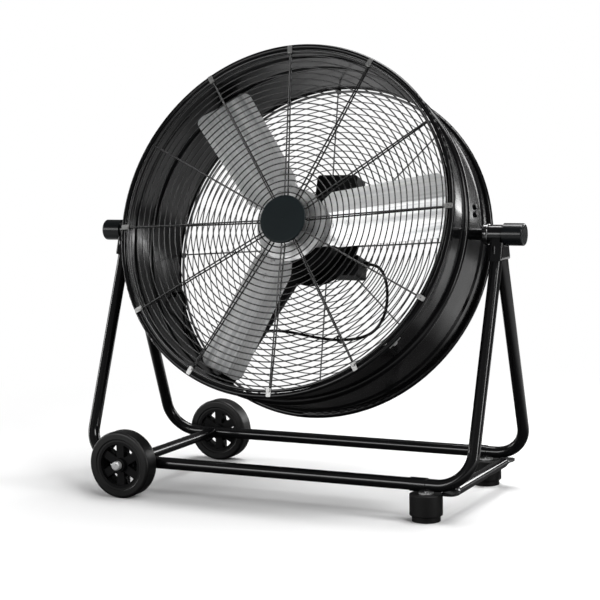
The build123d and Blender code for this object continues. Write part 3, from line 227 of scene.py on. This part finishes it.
def lathed(name, profile, materials, slots, place=HEAD, steps=96):
    """Solid turned about the drum's axis from (radius, depth) pairs; slots has a material number per band."""
    turns = [2 * pi * step / steps for step in range(steps)]
    points = [(0, profile[0][1], 0), (0, profile[-1][1], 0)]
    for radius, depth in profile[1:-1]:
        points += [(radius * cos(turn), depth, radius * sin(turn)) for turn in turns]
    faces = []
    numbers = []
    last = 2 + steps * (len(profile) - 3)
    for step in range(steps):
        after = (step + 1) % steps
        faces += [(0, 2 + step, 2 + after), (1, last + after, last + step)]
        numbers += [slots[0], slots[-1]]
        for band, row in enumerate(range(2, last, steps), 1):
            faces.append((row + step, row + steps + step, row + steps + after, row + after))
            numbers.append(slots[band])
    mesh = bpy.data.meshes.new(name)
    mesh.from_pydata(points, [], faces)
    for material in materials:
        mesh.materials.append(material)
    mesh.polygons.foreach_set("material_index", numbers)
    return placed(name, mesh, place)


def smooth(piece, angle=35):
    """Smooth shading with edges kept sharp above an angle."""
    mesh = piece.data
    mesh.shade_smooth()
    mesh.set_sharp_from_angle(angle=radians(angle))
    return piece


# ---------------------------------------------------------------- finishes
# texture cells per metre and depths in metres
PEEL_CELLS = 420
PEEL_DEPTH = 0.0006
CLOUD_CELLS = 9
HOLLOW_CELLS = 8
SHEET_HOLLOWS = 0.012
LAMINATION_PITCH = 0.0006


def finish(name, colour, roughness, metallic=0.0, coat=0.0, specular=0.5, build=None):
    """Procedural finish; build adds what varies over the surface."""
    made = bpy.data.materials.new(name)
    made.use_nodes = True
    tree = made.node_tree
    shader = tree.nodes["Principled BSDF"]
    shader.inputs["Base Color"].default_value = (*colour, 1)
    shader.inputs["Roughness"].default_value = roughness
    shader.inputs["Metallic"].default_value = metallic
    shader.inputs["Coat Weight"].default_value = coat
    shader.inputs["Coat Roughness"].default_value = 0.05
    shader.inputs["Specular IOR Level"].default_value = specular
    if build:
        graph = Graph(tree)
        graph.shader = shader
        place = graph.add("ShaderNodeTexCoord", {}, {}, "Object")
        build(graph, place)
    return made


def feed(graph, socket, wire):
    graph.tree.links.new(wire.socket, graph.shader.inputs[socket])


def noise(graph, place, scale, detail=3.0, roughness=0.55, stretch=None):
    """Noise of a scale in cells per metre, between 0 and 1."""
    if stretch:
        place = graph.add("ShaderNodeMapping", {"vector_type": "POINT"}, {"Vector": place, "Scale": stretch})
    return graph.add("ShaderNodeTexNoise", {}, {"Vector": place, "Scale": scale, "Detail": detail,
                                                "Roughness": roughness})


def between(graph, share, low, high):
    """Colour between two colours."""
    return graph.add("ShaderNodeMix", {"data_type": "RGBA"},
                     {"Factor": share, "A": (*low, 1), "B": (*high, 1)}, "Result")


def shades(colour, darker, lighter):
    """The colour made darker and lighter by two factors."""
    return tuple(darker * c for c in colour), tuple(lighter * c for c in colour)


def bumped(graph, height, strength, distance, below=None):
    """Bump from a height, on top of another bump's normal where one is given."""
    sockets = {"Height": height, "Strength": strength, "Distance": distance}
    if below:
        sockets["Normal"] = below
    feed(graph, "Normal", graph.add("ShaderNodeBump", {}, sockets))


def powder_coat(colour, rough, peel, gloss_drift=0.08, hollows=0.0):
    """Gloss powder coat with slight orange peel; hollows is how deep the sheet under it is dented."""
    def build(graph, place):
        skin = noise(graph, place, PEEL_CELLS, 2)
        cloud = noise(graph, place, CLOUD_CELLS, 2)
        feed(graph, "Roughness", rough + (cloud - 0.5) * gloss_drift + (skin - 0.5) * 0.04)
        feed(graph, "Base Color", between(graph, cloud, *shades(colour, 0.8, 1.25)))
        sheet = None
        if hollows:
            wave = noise(graph, place, HOLLOW_CELLS, 1)
            sheet = graph.add("ShaderNodeBump", {}, {"Height": wave, "Strength": 0.5, "Distance": hollows})
        bumped(graph, skin, peel, PEEL_DEPTH, below=sheet)
    return build


def painted_sheet(colour, rough, peel):
    """Gloss paint on rolled sheet that isn't quite true, so reflections wander."""
    return powder_coat(colour, rough, peel, gloss_drift=0.12, hollows=SHEET_HOLLOWS)


def moulded(colour, rough, grain):
    """Moulded plastic with a fine even grain."""
    def build(graph, place):
        fine = noise(graph, place, 1700, 2)
        cloud = noise(graph, place, 14, 2)
        feed(graph, "Roughness", rough + (fine - 0.5) * 0.1 + (cloud - 0.5) * 0.08)
        feed(graph, "Base Color", between(graph, cloud, *shades(colour, 0.85, 1.2)))
        bumped(graph, fine, grain, 0.0004)
    return build


def rolled_sheet(angle):
    """Satin aluminium sheet with faint rolling lines along the blade, and a painted sheen that lightens it
    towards the hub.
    """
    def build(graph, place):
        middle = graph.add("ShaderNodeVectorMath", {"operation": "SUBTRACT"},
                           {0: place, 1: tuple(HEAD.translation)})
        level = graph.add("ShaderNodeMapping", {"vector_type": "POINT"},
                          {"Vector": middle, "Rotation": (TILT, 0, 0)})
        along = graph.add("ShaderNodeMapping", {"vector_type": "POINT"},
                          {"Vector": level, "Rotation": (0, radians(angle), 0)})
        lines = noise(graph, along, 5, 4, 0.65, stretch=(0.5, 60, 110))
        mottle = noise(graph, along, 34, 3, 0.6)
        streaks = noise(graph, along, 5, 3, 0.6, stretch=(0.5, 8, 17))
        reach = graph.add("ShaderNodeSeparateXYZ", {}, {"Vector": along}, "X").absolute()
        # painted sheen: the base colour is lightened towards the hub, in place of the satin reflection there
        hub_sheen = (1.0 - (reach - HUB_DISC_RADIUS) / (BLADE_TIP - HUB_DISC_RADIUS)).clamped()
        brushed = ((streaks - 0.5) * 3.4 + (lines - 0.5) * 1.4 + 0.5).clamped()
        metal = between(graph, brushed, (0.44, 0.45, 0.46), (0.98, 0.98, 0.98))
        sheened = graph.add("ShaderNodeMix", {"data_type": "RGBA"},
                           {"Factor": hub_sheen * 0.85, "A": metal, "B": (0.96, 0.96, 0.96, 1)}, "Result")
        feed(graph, "Base Color", sheened)
        feed(graph, "Roughness", 0.34 + (lines - 0.5) * 0.14 + (mottle - 0.5) * 0.10)
        bumped(graph, lines, 0.05, 0.0004)
    return build


def plated(dark, light):
    """Zinc with cloudy passivation."""
    def build(graph, place):
        cloud = noise(graph, place, 260, 3)
        fine = noise(graph, place, 2400, 2)
        feed(graph, "Base Color", between(graph, cloud, dark, light))
        feed(graph, "Roughness", 0.22 + cloud * 0.14)
        bumped(graph, fine, 0.04, 0.0003)
    return build


def tyre_rubber(colour, rough, grain):
    """Solid rubber, slightly dusty."""
    def build(graph, place):
        fine = noise(graph, place, 900, 3)
        cloud = noise(graph, place, 22, 3)
        feed(graph, "Base Color", between(graph, cloud, *shades(colour, 0.7, 1.6)))
        feed(graph, "Roughness", rough + (cloud - 0.5) * 0.10 + (fine - 0.5) * 0.10)
        bumped(graph, fine, grain, 0.0004)
    return build


def machined(graph, place):
    """Turned steel."""
    lines = noise(graph, place, 1500, 2)
    feed(graph, "Roughness", 0.24 + lines * 0.12)
    feed(graph, "Base Color", between(graph, lines, (0.48, 0.48, 0.48), (0.62, 0.62, 0.61)))
    bumped(graph, lines, 0.05, 0.0002)


def laminations(graph, place):
    """Edges of stacked sheets of electrical steel."""
    depth = graph.add("ShaderNodeSeparateXYZ", {}, {"Vector": place}, "Y")
    sheet = (depth * (2 * pi / LAMINATION_PITCH)).sine() * 0.5 + 0.5
    feed(graph, "Base Color", between(graph, sheet, (0.12, 0.12, 0.13), (0.30, 0.30, 0.31)))
    feed(graph, "Roughness", 0.45 + sheet * 0.15)
    bumped(graph, sheet, 0.2, 0.0002)


# name, kind, colour, roughness, peel or grain, coat and specular level of the paints, plastics and rubbers
COATED = {
    "tube_black": ("tube_powder_coat", powder_coat, (0.0040, 0.0040, 0.0044), 0.16, 0.05, 0.25, 0.3),
    "drum_black": ("drum_paint", painted_sheet, (0.0025, 0.0025, 0.0028), 0.18, 0.015, 0.15, 0.2),
    "wire_black": ("wire_coating", powder_coat, (0.0060, 0.0060, 0.0064), 0.24, 0.03, 0.2, 0.6),
    # the rear wires are black; this pale grey is painted glare, in place of the light that washes them out
    "rear_wire": ("rear_wire_painted_glare", powder_coat, (0.30, 0.30, 0.305), 0.40, 0.03, 0.0, 0.5),
    "guard_cap": ("cap_plastic", moulded, (0.0035, 0.0075, 0.0090), 0.38, 0.05, 0.0, 0.18),
    "motor_black": ("motor_paint", powder_coat, (0.0030, 0.0030, 0.0032), 0.45, 0.08, 0.0, 0.15),
    "plastic_black": ("box_plastic", moulded, (0.0035, 0.0035, 0.0038), 0.48, 0.10, 0.0, 0.15),
    "gloss_black": ("gloss_plastic", moulded, (0.0040, 0.0040, 0.0042), 0.14, 0.02, 0.8, 0.6),
    "knob_black": ("knob_plastic", moulded, (0.0040, 0.0050, 0.0058), 0.25, 0.03, 0.2, 0.2),
    "lead_sheath": ("lead_sheath", moulded, (0.0040, 0.0040, 0.0042), 0.45, 0.04, 0.0, 0.15),
    "rubber": ("foot_rubber", tyre_rubber, (0.0060, 0.0060, 0.0060), 0.50, 0.12, 0.0, 0.25),
    "tyre": ("tyre_rubber", tyre_rubber, (0.0045, 0.0045, 0.0045), 0.36, 0.10, 0.0, 0.4),
}
# name, colour, roughness, share of metal and texture of the metal finishes
METALS = {
    "zinc": ("zinc_plate", (0.6, 0.6, 0.6), 0.30, 0.6,
             plated((0.55, 0.55, 0.56), (0.85, 0.85, 0.84))),
    "clip_zinc": ("clip_zinc_plate", (0.3, 0.3, 0.3), 0.35, 0.8,
                  plated((0.22, 0.22, 0.22), (0.52, 0.52, 0.51))),
    "shaft_steel": ("turned_steel", (0.55, 0.55, 0.55), 0.30, 1.0, machined),
    "core_steel": ("laminated_steel", (0.25, 0.25, 0.26), 0.50, 1.0, laminations),
}
# nodes whose finish differs from the rest of their slot
SPECIAL = {
    "drum_bolts": "drum_black",
    "friction_washers": "gloss_black",
    "front_guard_clips": "clip_zinc",
    "rear_guard_clips": "clip_zinc",
}
made_finishes = {}


def finish_for(slot):
    """The finish of a slot, made at its first use."""
    if slot in METALS and slot not in made_finishes:
        name, colour, roughness, metallic, build = METALS[slot]
        made_finishes[slot] = finish(name, colour, roughness, metallic, build=build)
    elif slot not in made_finishes:
        name, family, colour, roughness, texture, coat, specular = COATED[slot]
        build = family(colour, roughness, texture)
        made_finishes[slot] = finish(name, colour, roughness, 0.0, coat, specular, build)
    return made_finishes[slot]


def dress(node, material):
    """Give a CAD node its finish."""
    mesh = frame["nodes"][node].data
    mesh.materials.clear()
    mesh.materials.append(material)


# ---------------------------------------------------------------- settings that a user would change
class DrumFanGuards(PropertyGroup):
    ring_count: IntProperty(name="Front rings", description="Wire rings in the front guard",
                            default=24, min=4)
    ring_inner: FloatProperty(name="Smallest front ring", description="Radius of the smallest front ring",
                              default=0.052, unit="LENGTH")
    ring_outer: FloatProperty(name="Largest ring", description="Radius of the largest wire ring",
                              default=0.311, unit="LENGTH")
    rear_ring_count: IntProperty(name="Rear rings", description="Wire rings in the rear guard",
                                 default=20, min=4)
    rear_ring_inner: FloatProperty(name="Smallest rear ring", description="Radius of the smallest rear ring",
                                   default=0.070, unit="LENGTH")
    spoke_count: IntProperty(name="Front spokes", description="Pairs of spokes in the front guard",
                             default=12)
    rear_spoke_count: IntProperty(name="Rear spokes", description="Spokes in the rear guard", default=8)
    ring_wire: FloatProperty(name="Front ring wire", description="Thickness of the front rings",
                             default=0.0025, unit="LENGTH")
    rear_ring_wire: FloatProperty(name="Rear ring wire", description="Thickness of the rear rings",
                                  default=0.002, unit="LENGTH")
    spoke_wire: FloatProperty(name="Spoke wire", description="Thickness of the spoke wire",
                              default=0.003, unit="LENGTH")


class DrumFanStudio(PropertyGroup):
    azimuth: FloatProperty(name="Azimuth", description="Camera angle round the fan", default=radians(25.471),
                           subtype="ANGLE")
    elevation: FloatProperty(name="Elevation", description="Camera angle above the floor",
                             default=radians(5.653), subtype="ANGLE")
    roll: FloatProperty(name="Roll", description="Camera roll", default=radians(-0.847), subtype="ANGLE")
    distance: FloatProperty(name="Distance", description="Camera distance from its target",
                            default=2.9956, unit="LENGTH")
    target: FloatVectorProperty(name="Target", description="Point that the camera looks at",
                                default=(-0.0087, 0, 0.3588), subtype="TRANSLATION")
    lens: FloatProperty(name="Lens", description="Focal length on a 36 mm sensor, in millimetres",
                        default=95.55)
    floor_colour: FloatVectorProperty(name="Floor", description="Floor colour", default=(0.9, 0.9, 0.9),
                                      subtype="COLOR")
    room: FloatProperty(name="Room light", description="Strength of the even light between the softboxes",
                        default=0.12, min=0.0)


# ---------------------------------------------------------------- pieces
class FAN_OT_finishes(Operator):
    """Give every CAD node the finish of its material slot, or its own where it differs"""
    bl_idname = "drum_fan.finishes"
    bl_label = "Finish the metal and plastic parts"

    def execute(self, context):
        for row in frame["record"]["subparts"]:
            node, slot = row["node"], row["material_slot"]
            if slot == "blade_aluminium":
                number = int(node[-1]) - 1 if node[-1].isdigit() else 0
                angle = BLADE_PHASE + number * 360 / BLADE_COUNT
                sheet = rolled_sheet(angle)
                dress(node, finish(f"aluminium_{node}", (0.8, 0.8, 0.8), 0.36, 0.55, build=sheet))
            else:
                dress(node, finish_for(SPECIAL.get(node, slot)))
        return {"FINISHED"}


# corners round each ring, and round the section of its wire
RING_SEGMENTS = 144
FRAME_SEGMENTS = 160
WIRE_SIDES = 8
FRAME_WIRE_SIDES = 10


def circle_curve(graph, radius, segments):
    return graph.add("GeometryNodeCurvePrimitiveCircle", {"mode": "RADIUS"},
                     {"Resolution": segments, "Radius": radius}, "Curve")


def ring_wires(graph, count, inner, outer, slope, start_depth, wire):
    """Rings at even steps; depth falls with radius by the slope of the guard's dish."""
    points = graph.add("GeometryNodePoints", {}, {"Count": count})
    index = graph.add("GeometryNodeInputIndex")
    radius = inner + index * ((outer - inner) / (count - 1))
    depth = start_depth + slope * (outer - radius)
    points = graph.add("GeometryNodeSetPosition", {},
                       {"Geometry": points, "Position": graph.vector(0, depth, 0)})
    circle = circle_curve(graph, 1.0, RING_SEGMENTS)
    circle = graph.add("GeometryNodeTransform", {}, {"Geometry": circle, "Rotation": (pi / 2, 0, 0)})
    rings = graph.add("GeometryNodeInstanceOnPoints", {}, {"Points": points, "Instance": circle,
                                                           "Scale": graph.vector(radius, radius, radius)})
    rings = graph.add("GeometryNodeRealizeInstances", {}, {"Geometry": rings})
    rings = graph.add("GeometryNodeSetCurveRadius", {}, {"Curve": rings, "Radius": 1.0})
    return graph.add("GeometryNodeCurveToMesh", {},
                     {"Curve": rings, "Profile Curve": circle_curve(graph, wire / 2, WIRE_SIDES)})


def spoke_wires(graph, count, phase, start, end, wire):
    """Straight spokes from a (radius, depth) start to an end."""
    line = graph.add("GeometryNodeCurvePrimitiveLine", {"mode": "POINTS"},
                     {"Start": graph.vector(start[0], start[1], 0), "End": graph.vector(end[0], end[1], 0)})
    points = graph.add("GeometryNodePoints", {}, {"Count": count})
    index = graph.add("GeometryNodeInputIndex")
    angle = phase + index * (2 * pi / count)
    spokes = graph.add("GeometryNodeInstanceOnPoints", {}, {"Points": points, "Instance": line,
                                                            "Rotation": graph.vector(0, angle * -1, 0)})
    spokes = graph.add("GeometryNodeRealizeInstances", {}, {"Geometry": spokes})
    spokes = graph.add("GeometryNodeSetCurveRadius", {}, {"Curve": spokes, "Radius": 1.0})
    return graph.add("GeometryNodeCurveToMesh", {},
                     {"Curve": spokes, "Profile Curve": circle_curve(graph, wire / 2, WIRE_SIDES),
                      "Fill Caps": True})


def single_ring(graph, radius, depth, wire):
    """One frame wire of a guard."""
    circle = circle_curve(graph, radius, FRAME_SEGMENTS)
    circle = graph.add("GeometryNodeTransform", {}, {"Geometry": circle, "Rotation": (pi / 2, 0, 0),
                                                     "Translation": graph.vector(0, depth, 0)})
    return graph.add("GeometryNodeCurveToMesh", {},
                     {"Curve": circle, "Profile Curve": circle_curve(graph, wire / 2, FRAME_WIRE_SIDES)})


def joined(graph, *parts):
    """The geometry of several wires as one."""
    node = graph.tree.nodes.new("GeometryNodeJoinGeometry")
    for part in parts:
        graph.tree.links.new(part.socket, node.inputs[0])
    return Wire(graph, node.outputs[0])


COUNT = "NodeSocketInt"
LENGTH = "NodeSocketFloat"
GUARD_INPUTS = {
    "Rings": (COUNT, 24),
    "Spokes": (COUNT, 12),
    "Phase": (LENGTH, 0.0),
    "Inner radius": (LENGTH, 0.05),
    "Outer radius": (LENGTH, 0.3),
    "Hub radius": (LENGTH, 0.045),
    "Frame radius": (LENGTH, FRAME_RING_RADIUS),
    "Ring wire": (LENGTH, 0.0025),
    "Spoke wire": (LENGTH, 0.003),
    "Frame wire": (LENGTH, FRAME_WIRE),
    "Material": ("NodeSocketMaterial", None),
}


def front_guard_tree():
    """Dished double grille: rings between a front and a back set of spokes, on two frame wires."""
    graph, given = modifier_tree("front_guard", {**GUARD_INPUTS, "Rim depth": (LENGTH, 0.003),
                                                 "Hub depth": (LENGTH, FRONT_SPOKE_HUB_DEPTH),
                                                 "Back hub depth": (LENGTH, BACK_SPOKE_HUB_DEPTH)})
    frame_radius = given.other("Frame radius")
    frame_wire = given.other("Frame wire")
    hub_radius = given.other("Hub radius")
    hub_depth = given.other("Hub depth")
    ring_wire = given.other("Ring wire")
    spoke_wire = given.other("Spoke wire")
    rim_depth = given.other("Rim depth")
    slope = (hub_depth - rim_depth) / (frame_radius - hub_radius)
    outer = given.other("Outer radius")
    ring_depth = rim_depth + slope * (frame_radius - outer) + spoke_wire / 2 + ring_wire / 2
    rings = ring_wires(graph, given.other("Rings"), given.other("Inner radius"), outer, slope,
                       ring_depth, ring_wire)
    count, phase = given.other("Spokes"), given.other("Phase")
    reach = frame_radius - frame_wire / 2
    spokes = spoke_wires(graph, count, phase, (hub_radius, hub_depth), (reach, rim_depth), spoke_wire)
    back_start = (hub_radius - HUB_PLATE_INSET, given.other("Back hub depth"))
    back_end = (reach, rim_depth + spoke_wire + ring_wire)
    backs = spoke_wires(graph, count, phase, back_start, back_end, spoke_wire)
    front_frame = single_ring(graph, frame_radius, rim_depth, frame_wire)
    back_frame = single_ring(graph, frame_radius, BACK_FRAME_DEPTH, frame_wire)
    wires = joined(graph, rings, spokes, backs, front_frame, back_frame)
    finish_tree(graph, wires, given.other("Material"))
    return graph.tree


def rear_guard_tree():
    """Flat grille: rings behind one set of spokes, with one frame wire."""
    graph, given = modifier_tree("rear_guard", {**GUARD_INPUTS, "Depth": (LENGTH, DRUM_DEPTH)})
    face = given.other("Depth")
    frame_radius = given.other("Frame radius")
    frame_wire = given.other("Frame wire")
    ring_wire = given.other("Ring wire")
    spoke_wire = given.other("Spoke wire")
    rings = ring_wires(graph, given.other("Rings"), given.other("Inner radius"), given.other("Outer radius"),
                       0.0, face - ring_wire / 2, ring_wire)
    spoke_depth = face - ring_wire - spoke_wire / 2
    start = (given.other("Hub radius"), spoke_depth)
    end = (frame_radius - frame_wire / 2, spoke_depth)
    spokes = spoke_wires(graph, given.other("Spokes"), given.other("Phase"), start, end, spoke_wire)
    rim = single_ring(graph, frame_radius, face - frame_wire / 2, frame_wire)
    finish_tree(graph, joined(graph, rings, spokes, rim), given.other("Material"))
    return graph.tree


class FAN_OT_front_guard(Operator):
    """Front grille of round wire: rings, double spokes and frame ring"""
    bl_idname = "drum_fan.front_guard"
    bl_label = "Wire the front guard"

    def execute(self, context):
        sizes = context.scene.drum_fan_guards
        piece = grown("front_guard_wires", front_guard_tree(), {
            "Rings": sizes.ring_count, "Spokes": sizes.spoke_count, "Phase": radians(FRONT_SPOKE_PHASE),
            "Inner radius": sizes.ring_inner, "Outer radius": sizes.ring_outer, "Hub radius": HUB_CAP_RADIUS,
            "Frame radius": FRAME_RING_RADIUS, "Ring wire": sizes.ring_wire, "Spoke wire": sizes.spoke_wire,
            "Frame wire": FRAME_WIRE, "Rim depth": FRAME_WIRE / 2, "Hub depth": FRONT_SPOKE_HUB_DEPTH,
            "Back hub depth": BACK_SPOKE_HUB_DEPTH, "Material": finish_for("wire_black")})
        smooth(piece, 60)
        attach(piece, "drum_head")
        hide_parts("front_guard_rings", "front_guard_spokes")
        return {"FINISHED"}


class FAN_OT_rear_guard(Operator):
    """Rear grille of round wire: rings, spokes and frame ring"""
    bl_idname = "drum_fan.rear_guard"
    bl_label = "Wire the rear guard"

    def execute(self, context):
        sizes = context.scene.drum_fan_guards
        piece = grown("rear_guard_wires", rear_guard_tree(), {
            "Rings": sizes.rear_ring_count, "Spokes": sizes.rear_spoke_count,
            "Phase": radians(REAR_SPOKE_PHASE), "Inner radius": sizes.rear_ring_inner,
            "Outer radius": sizes.ring_outer, "Hub radius": REAR_SPOKE_START,
            "Frame radius": FRAME_RING_RADIUS, "Ring wire": sizes.rear_ring_wire,
            "Spoke wire": sizes.spoke_wire, "Frame wire": FRAME_WIRE, "Depth": DRUM_DEPTH,
            # pale grey finish: painted glare on the black rear wires
            "Material": finish_for("rear_wire")})
        smooth(piece, 60)
        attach(piece, "drum_head")
        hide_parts("rear_guard_rings", "rear_guard_spokes")
        return {"FINISHED"}


class FAN_OT_motor_lead(Operator):
    """Motor lead along its route behind the blades"""
    bl_idname = "drum_fan.motor_lead"
    bl_label = "Run the motor lead"

    def execute(self, context):
        curve = bpy.data.curves.new("motor_lead_sheath", "CURVE")
        curve.dimensions = "3D"
        spline = curve.splines.new("NURBS")
        spline.points.add(len(LEAD_ROUTE) - 1)
        for point, place in zip(spline.points, LEAD_ROUTE):
            point.co = (*(HEAD @ Vector(place)), 1)
        spline.order_u = 3
        spline.use_endpoint_u = True
        spline.resolution_u = 12
        curve.bevel_depth = LEAD_RADIUS
        curve.bevel_resolution = 3
        curve.use_fill_caps = True
        curve.materials.append(finish_for("lead_sheath"))
        piece = bpy.data.objects.new("motor_lead_sheath", curve)
        context.scene.collection.objects.link(piece)
        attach(piece, "drum_head")
        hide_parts("motor_lead")
        return {"FINISHED"}


# (radius, depth) round the hub cap: dimple, face, rounded edge, side and back
HUB_CAP = (
    (0.0, 0.0127), (0.0008, 0.0127), (0.0012, 0.0120), (0.0018, 0.0120), (0.0424, 0.0120), (0.0430, 0.0120),
    (0.0441, 0.0123), (0.0450, 0.0130), (HUB_CAP_RADIUS, 0.0142), (HUB_CAP_RADIUS, 0.0148),
    (HUB_CAP_RADIUS, 0.0225), (0.0450, 0.0235), (0.0440, 0.0240), (0.0, 0.0240),
)
HUB_CAP_SIDE = 8               # first band of the glossy side


class FAN_OT_hub_cap(Operator):
    """Round cap in the middle of the front guard"""
    bl_idname = "drum_fan.hub_cap"
    bl_label = "Turn the hub cap"

    def execute(self, context):
        slots = [0 if band < HUB_CAP_SIDE else 1 for band in range(len(HUB_CAP) - 1)]
        piece = lathed("hub_cap", HUB_CAP, (finish_for("guard_cap"), finish_for("gloss_black")), slots)
        smooth(piece, 40)
        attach(piece, "drum_head")
        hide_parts("front_guard_cap")
        return {"FINISHED"}


# ---------------------------------------------------------------- studio
# distances from the middle of the floor between which it turns to plain white, and between which
# what the fan mirrors of it goes from dark to pale
WHITE_FROM, WHITE_TO = 0.75, 1.6
PALE_FROM, PALE_TO = 0.55, 0.95
MIRRORED_DARK, MIRRORED_PALE = 0.03, 0.55
FLOOR_REACH = 30
SENSOR_WIDTH = 36

# name, place, width, height and watts of each softbox; all face the drum
SOFTBOXES = (
    ("top_box", (0.4, 0.6, 2.8), 2.2, 1.4, 85),
    ("front_wall", (-1.8, -3.9, 1.2), 2.6, 1.3, 62),
    ("high_right", (2.4, -1.6, 2.6), 1.0, 1.0, 38),
    ("left_strip", (-2.9, -0.2, 1.0), 0.35, 1.8, 22),
    ("right_strip", (2.3, -0.4, 0.9), 0.25, 1.9, 18),
    ("back_strip", (1.2, 2.4, 1.4), 0.5, 1.8, 25),
)
AIM = Vector((0, 0, 0.42))


def softbox(name, place, width, height, power):
    """Rectangular lamp that faces the drum."""
    light = bpy.data.lights.new(name, "AREA")
    light.energy = power
    light.shape = "RECTANGLE"
    light.size = width
    light.size_y = height
    holder = bpy.data.objects.new(name, light)
    holder.location = place
    holder.rotation_euler = (AIM - Vector(place)).to_track_quat("-Z", "Y").to_euler()
    bpy.context.scene.collection.objects.link(holder)


def seamless_floor(colour):
    """White floor that keeps the fan's soft shadows and runs into the white background.

    What the fan mirrors of it is darker than what the camera sees, so that the gloss paint stays black.
    """
    made = bpy.data.materials.new("studio_floor")
    made.use_nodes = True
    graph = Graph(made.node_tree)
    shader = made.node_tree.nodes["Principled BSDF"]
    seen = graph.add("ShaderNodeLightPath", {}, {}, "Is Camera Ray")
    place = graph.add("ShaderNodeTexCoord", {}, {}, "Object")
    away = graph.add("ShaderNodeVectorMath", {"operation": "LENGTH"}, {0: place}, "Value")
    far = graph.add("ShaderNodeMapRange", {"interpolation_type": "SMOOTHSTEP"},
                    {"Value": away, "From Min": WHITE_FROM, "From Max": WHITE_TO}, "Result")
    mirrored = graph.add("ShaderNodeMapRange", {},
                         {"Value": away, "From Min": PALE_FROM, "From Max": PALE_TO,
                          "To Min": MIRRORED_DARK, "To Max": MIRRORED_PALE}, "Result")
    grey = graph.vector(mirrored, mirrored, mirrored)
    shade = graph.add("ShaderNodeMix", {"data_type": "RGBA"},
                      {"Factor": seen, "A": grey, "B": (*colour, 1)}, "Result")
    graph.tree.links.new(shade.socket, shader.inputs["Base Color"])
    shader.inputs["Roughness"].default_value = 0.7
    shader.inputs["Specular IOR Level"].default_value = 0.2
    glow = graph.add("ShaderNodeEmission", {}, {"Color": (1, 1, 1, 1), "Strength": 1.0}, "Emission")
    mixed = graph.tree.nodes.new("ShaderNodeMixShader")
    graph.tree.links.new((far * seen).socket, mixed.inputs[0])
    graph.tree.links.new(shader.outputs["BSDF"], mixed.inputs[1])
    graph.tree.links.new(glow.socket, mixed.inputs[2])
    graph.tree.links.new(mixed.outputs[0], made.node_tree.nodes["Material Output"].inputs["Surface"])
    return made


class FAN_OT_studio(Operator):
    """Pale floor, soft lights and the camera"""
    bl_idname = "drum_fan.studio"
    bl_label = "Set up the studio"

    def execute(self, context):
        look = context.scene.drum_fan_studio
        back = Vector((sin(look.azimuth) * cos(look.elevation), -cos(look.azimuth) * cos(look.elevation),
                       sin(look.elevation)))
        right = (-back).cross(Vector((0, 0, 1))).normalized()
        up = right.cross(-back)
        right, up = (cos(look.roll) * right + sin(look.roll) * up,
                     cos(look.roll) * up - sin(look.roll) * right)
        camera = bpy.data.cameras.new("camera")
        camera.lens = look.lens
        camera.sensor_width = SENSOR_WIDTH
        holder = bpy.data.objects.new("camera", camera)
        turn = Matrix((right, up, back)).transposed().to_4x4()
        holder.matrix_world = Matrix.Translation(Vector(look.target) + back * look.distance) @ turn
        context.scene.collection.objects.link(holder)
        context.scene.camera = holder

        floor = bpy.data.meshes.new("studio_floor")
        corners = [(FLOOR_REACH * x, FLOOR_REACH * y, 0) for x, y in ((-1, -1), (1, -1), (1, 1), (-1, 1))]
        floor.from_pydata(corners, [], [(0, 1, 2, 3)])
        floor.materials.append(seamless_floor(look.floor_colour))
        ground = bpy.data.objects.new("studio_floor", floor)
        context.scene.collection.objects.link(ground)

        world = bpy.data.worlds.new("studio")
        world.use_nodes = True
        graph = Graph(world.node_tree)
        sky = world.node_tree.nodes["Background"]
        # white background for the camera, weaker even light for the fan
        seen = graph.add("ShaderNodeLightPath", {}, {}, "Is Camera Ray")
        graph.tree.links.new((look.room + seen * (1.0 - look.room)).socket, sky.inputs["Strength"])
        sky.inputs["Color"].default_value = (1, 1, 1, 1)
        context.scene.world = world
        context.scene.view_settings.view_transform = "Standard"

        for name, place, size, tall, power in SOFTBOXES:
            softbox(name, place, size, tall, power)
        return {"FINISHED"}


class FAN_PT_panel(Panel):
    """Lists what builds the fan's looks"""
    bl_idname = "FAN_PT_panel"
    bl_label = "Drum fan"
    bl_space_type = "VIEW_3D"
    bl_region_type = "UI"
    bl_category = "Drum fan"

    def draw(self, context):
        for settings in (context.scene.drum_fan_guards, context.scene.drum_fan_studio):
            box = self.layout.box()
            for name in settings.__annotations__:
                box.prop(settings, name)
        for step in STEPS:
            self.layout.operator(step.bl_idname)


GROUPS = {"drum_fan_guards": DrumFanGuards, "drum_fan_studio": DrumFanStudio}
STEPS = (FAN_OT_studio, FAN_OT_finishes, FAN_OT_front_guard, FAN_OT_rear_guard, FAN_OT_hub_cap,
         FAN_OT_motor_lead)


def register():
    for kind in (*GROUPS.values(), *STEPS, FAN_PT_panel):
        bpy.utils.register_class(kind)
    for name, group in GROUPS.items():
        setattr(bpy.types.Scene, name, PointerProperty(type=group))


def unregister():
    for name in GROUPS:
        delattr(bpy.types.Scene, name)
    for kind in (FAN_PT_panel, *reversed(STEPS), *reversed(GROUPS.values())):
        bpy.utils.unregister_class(kind)


def main():
    register()
    for step in STEPS:
        family, name = step.bl_idname.split(".")
        getattr(getattr(bpy.ops, family), name)()


if __name__ == "__main__":
    main()
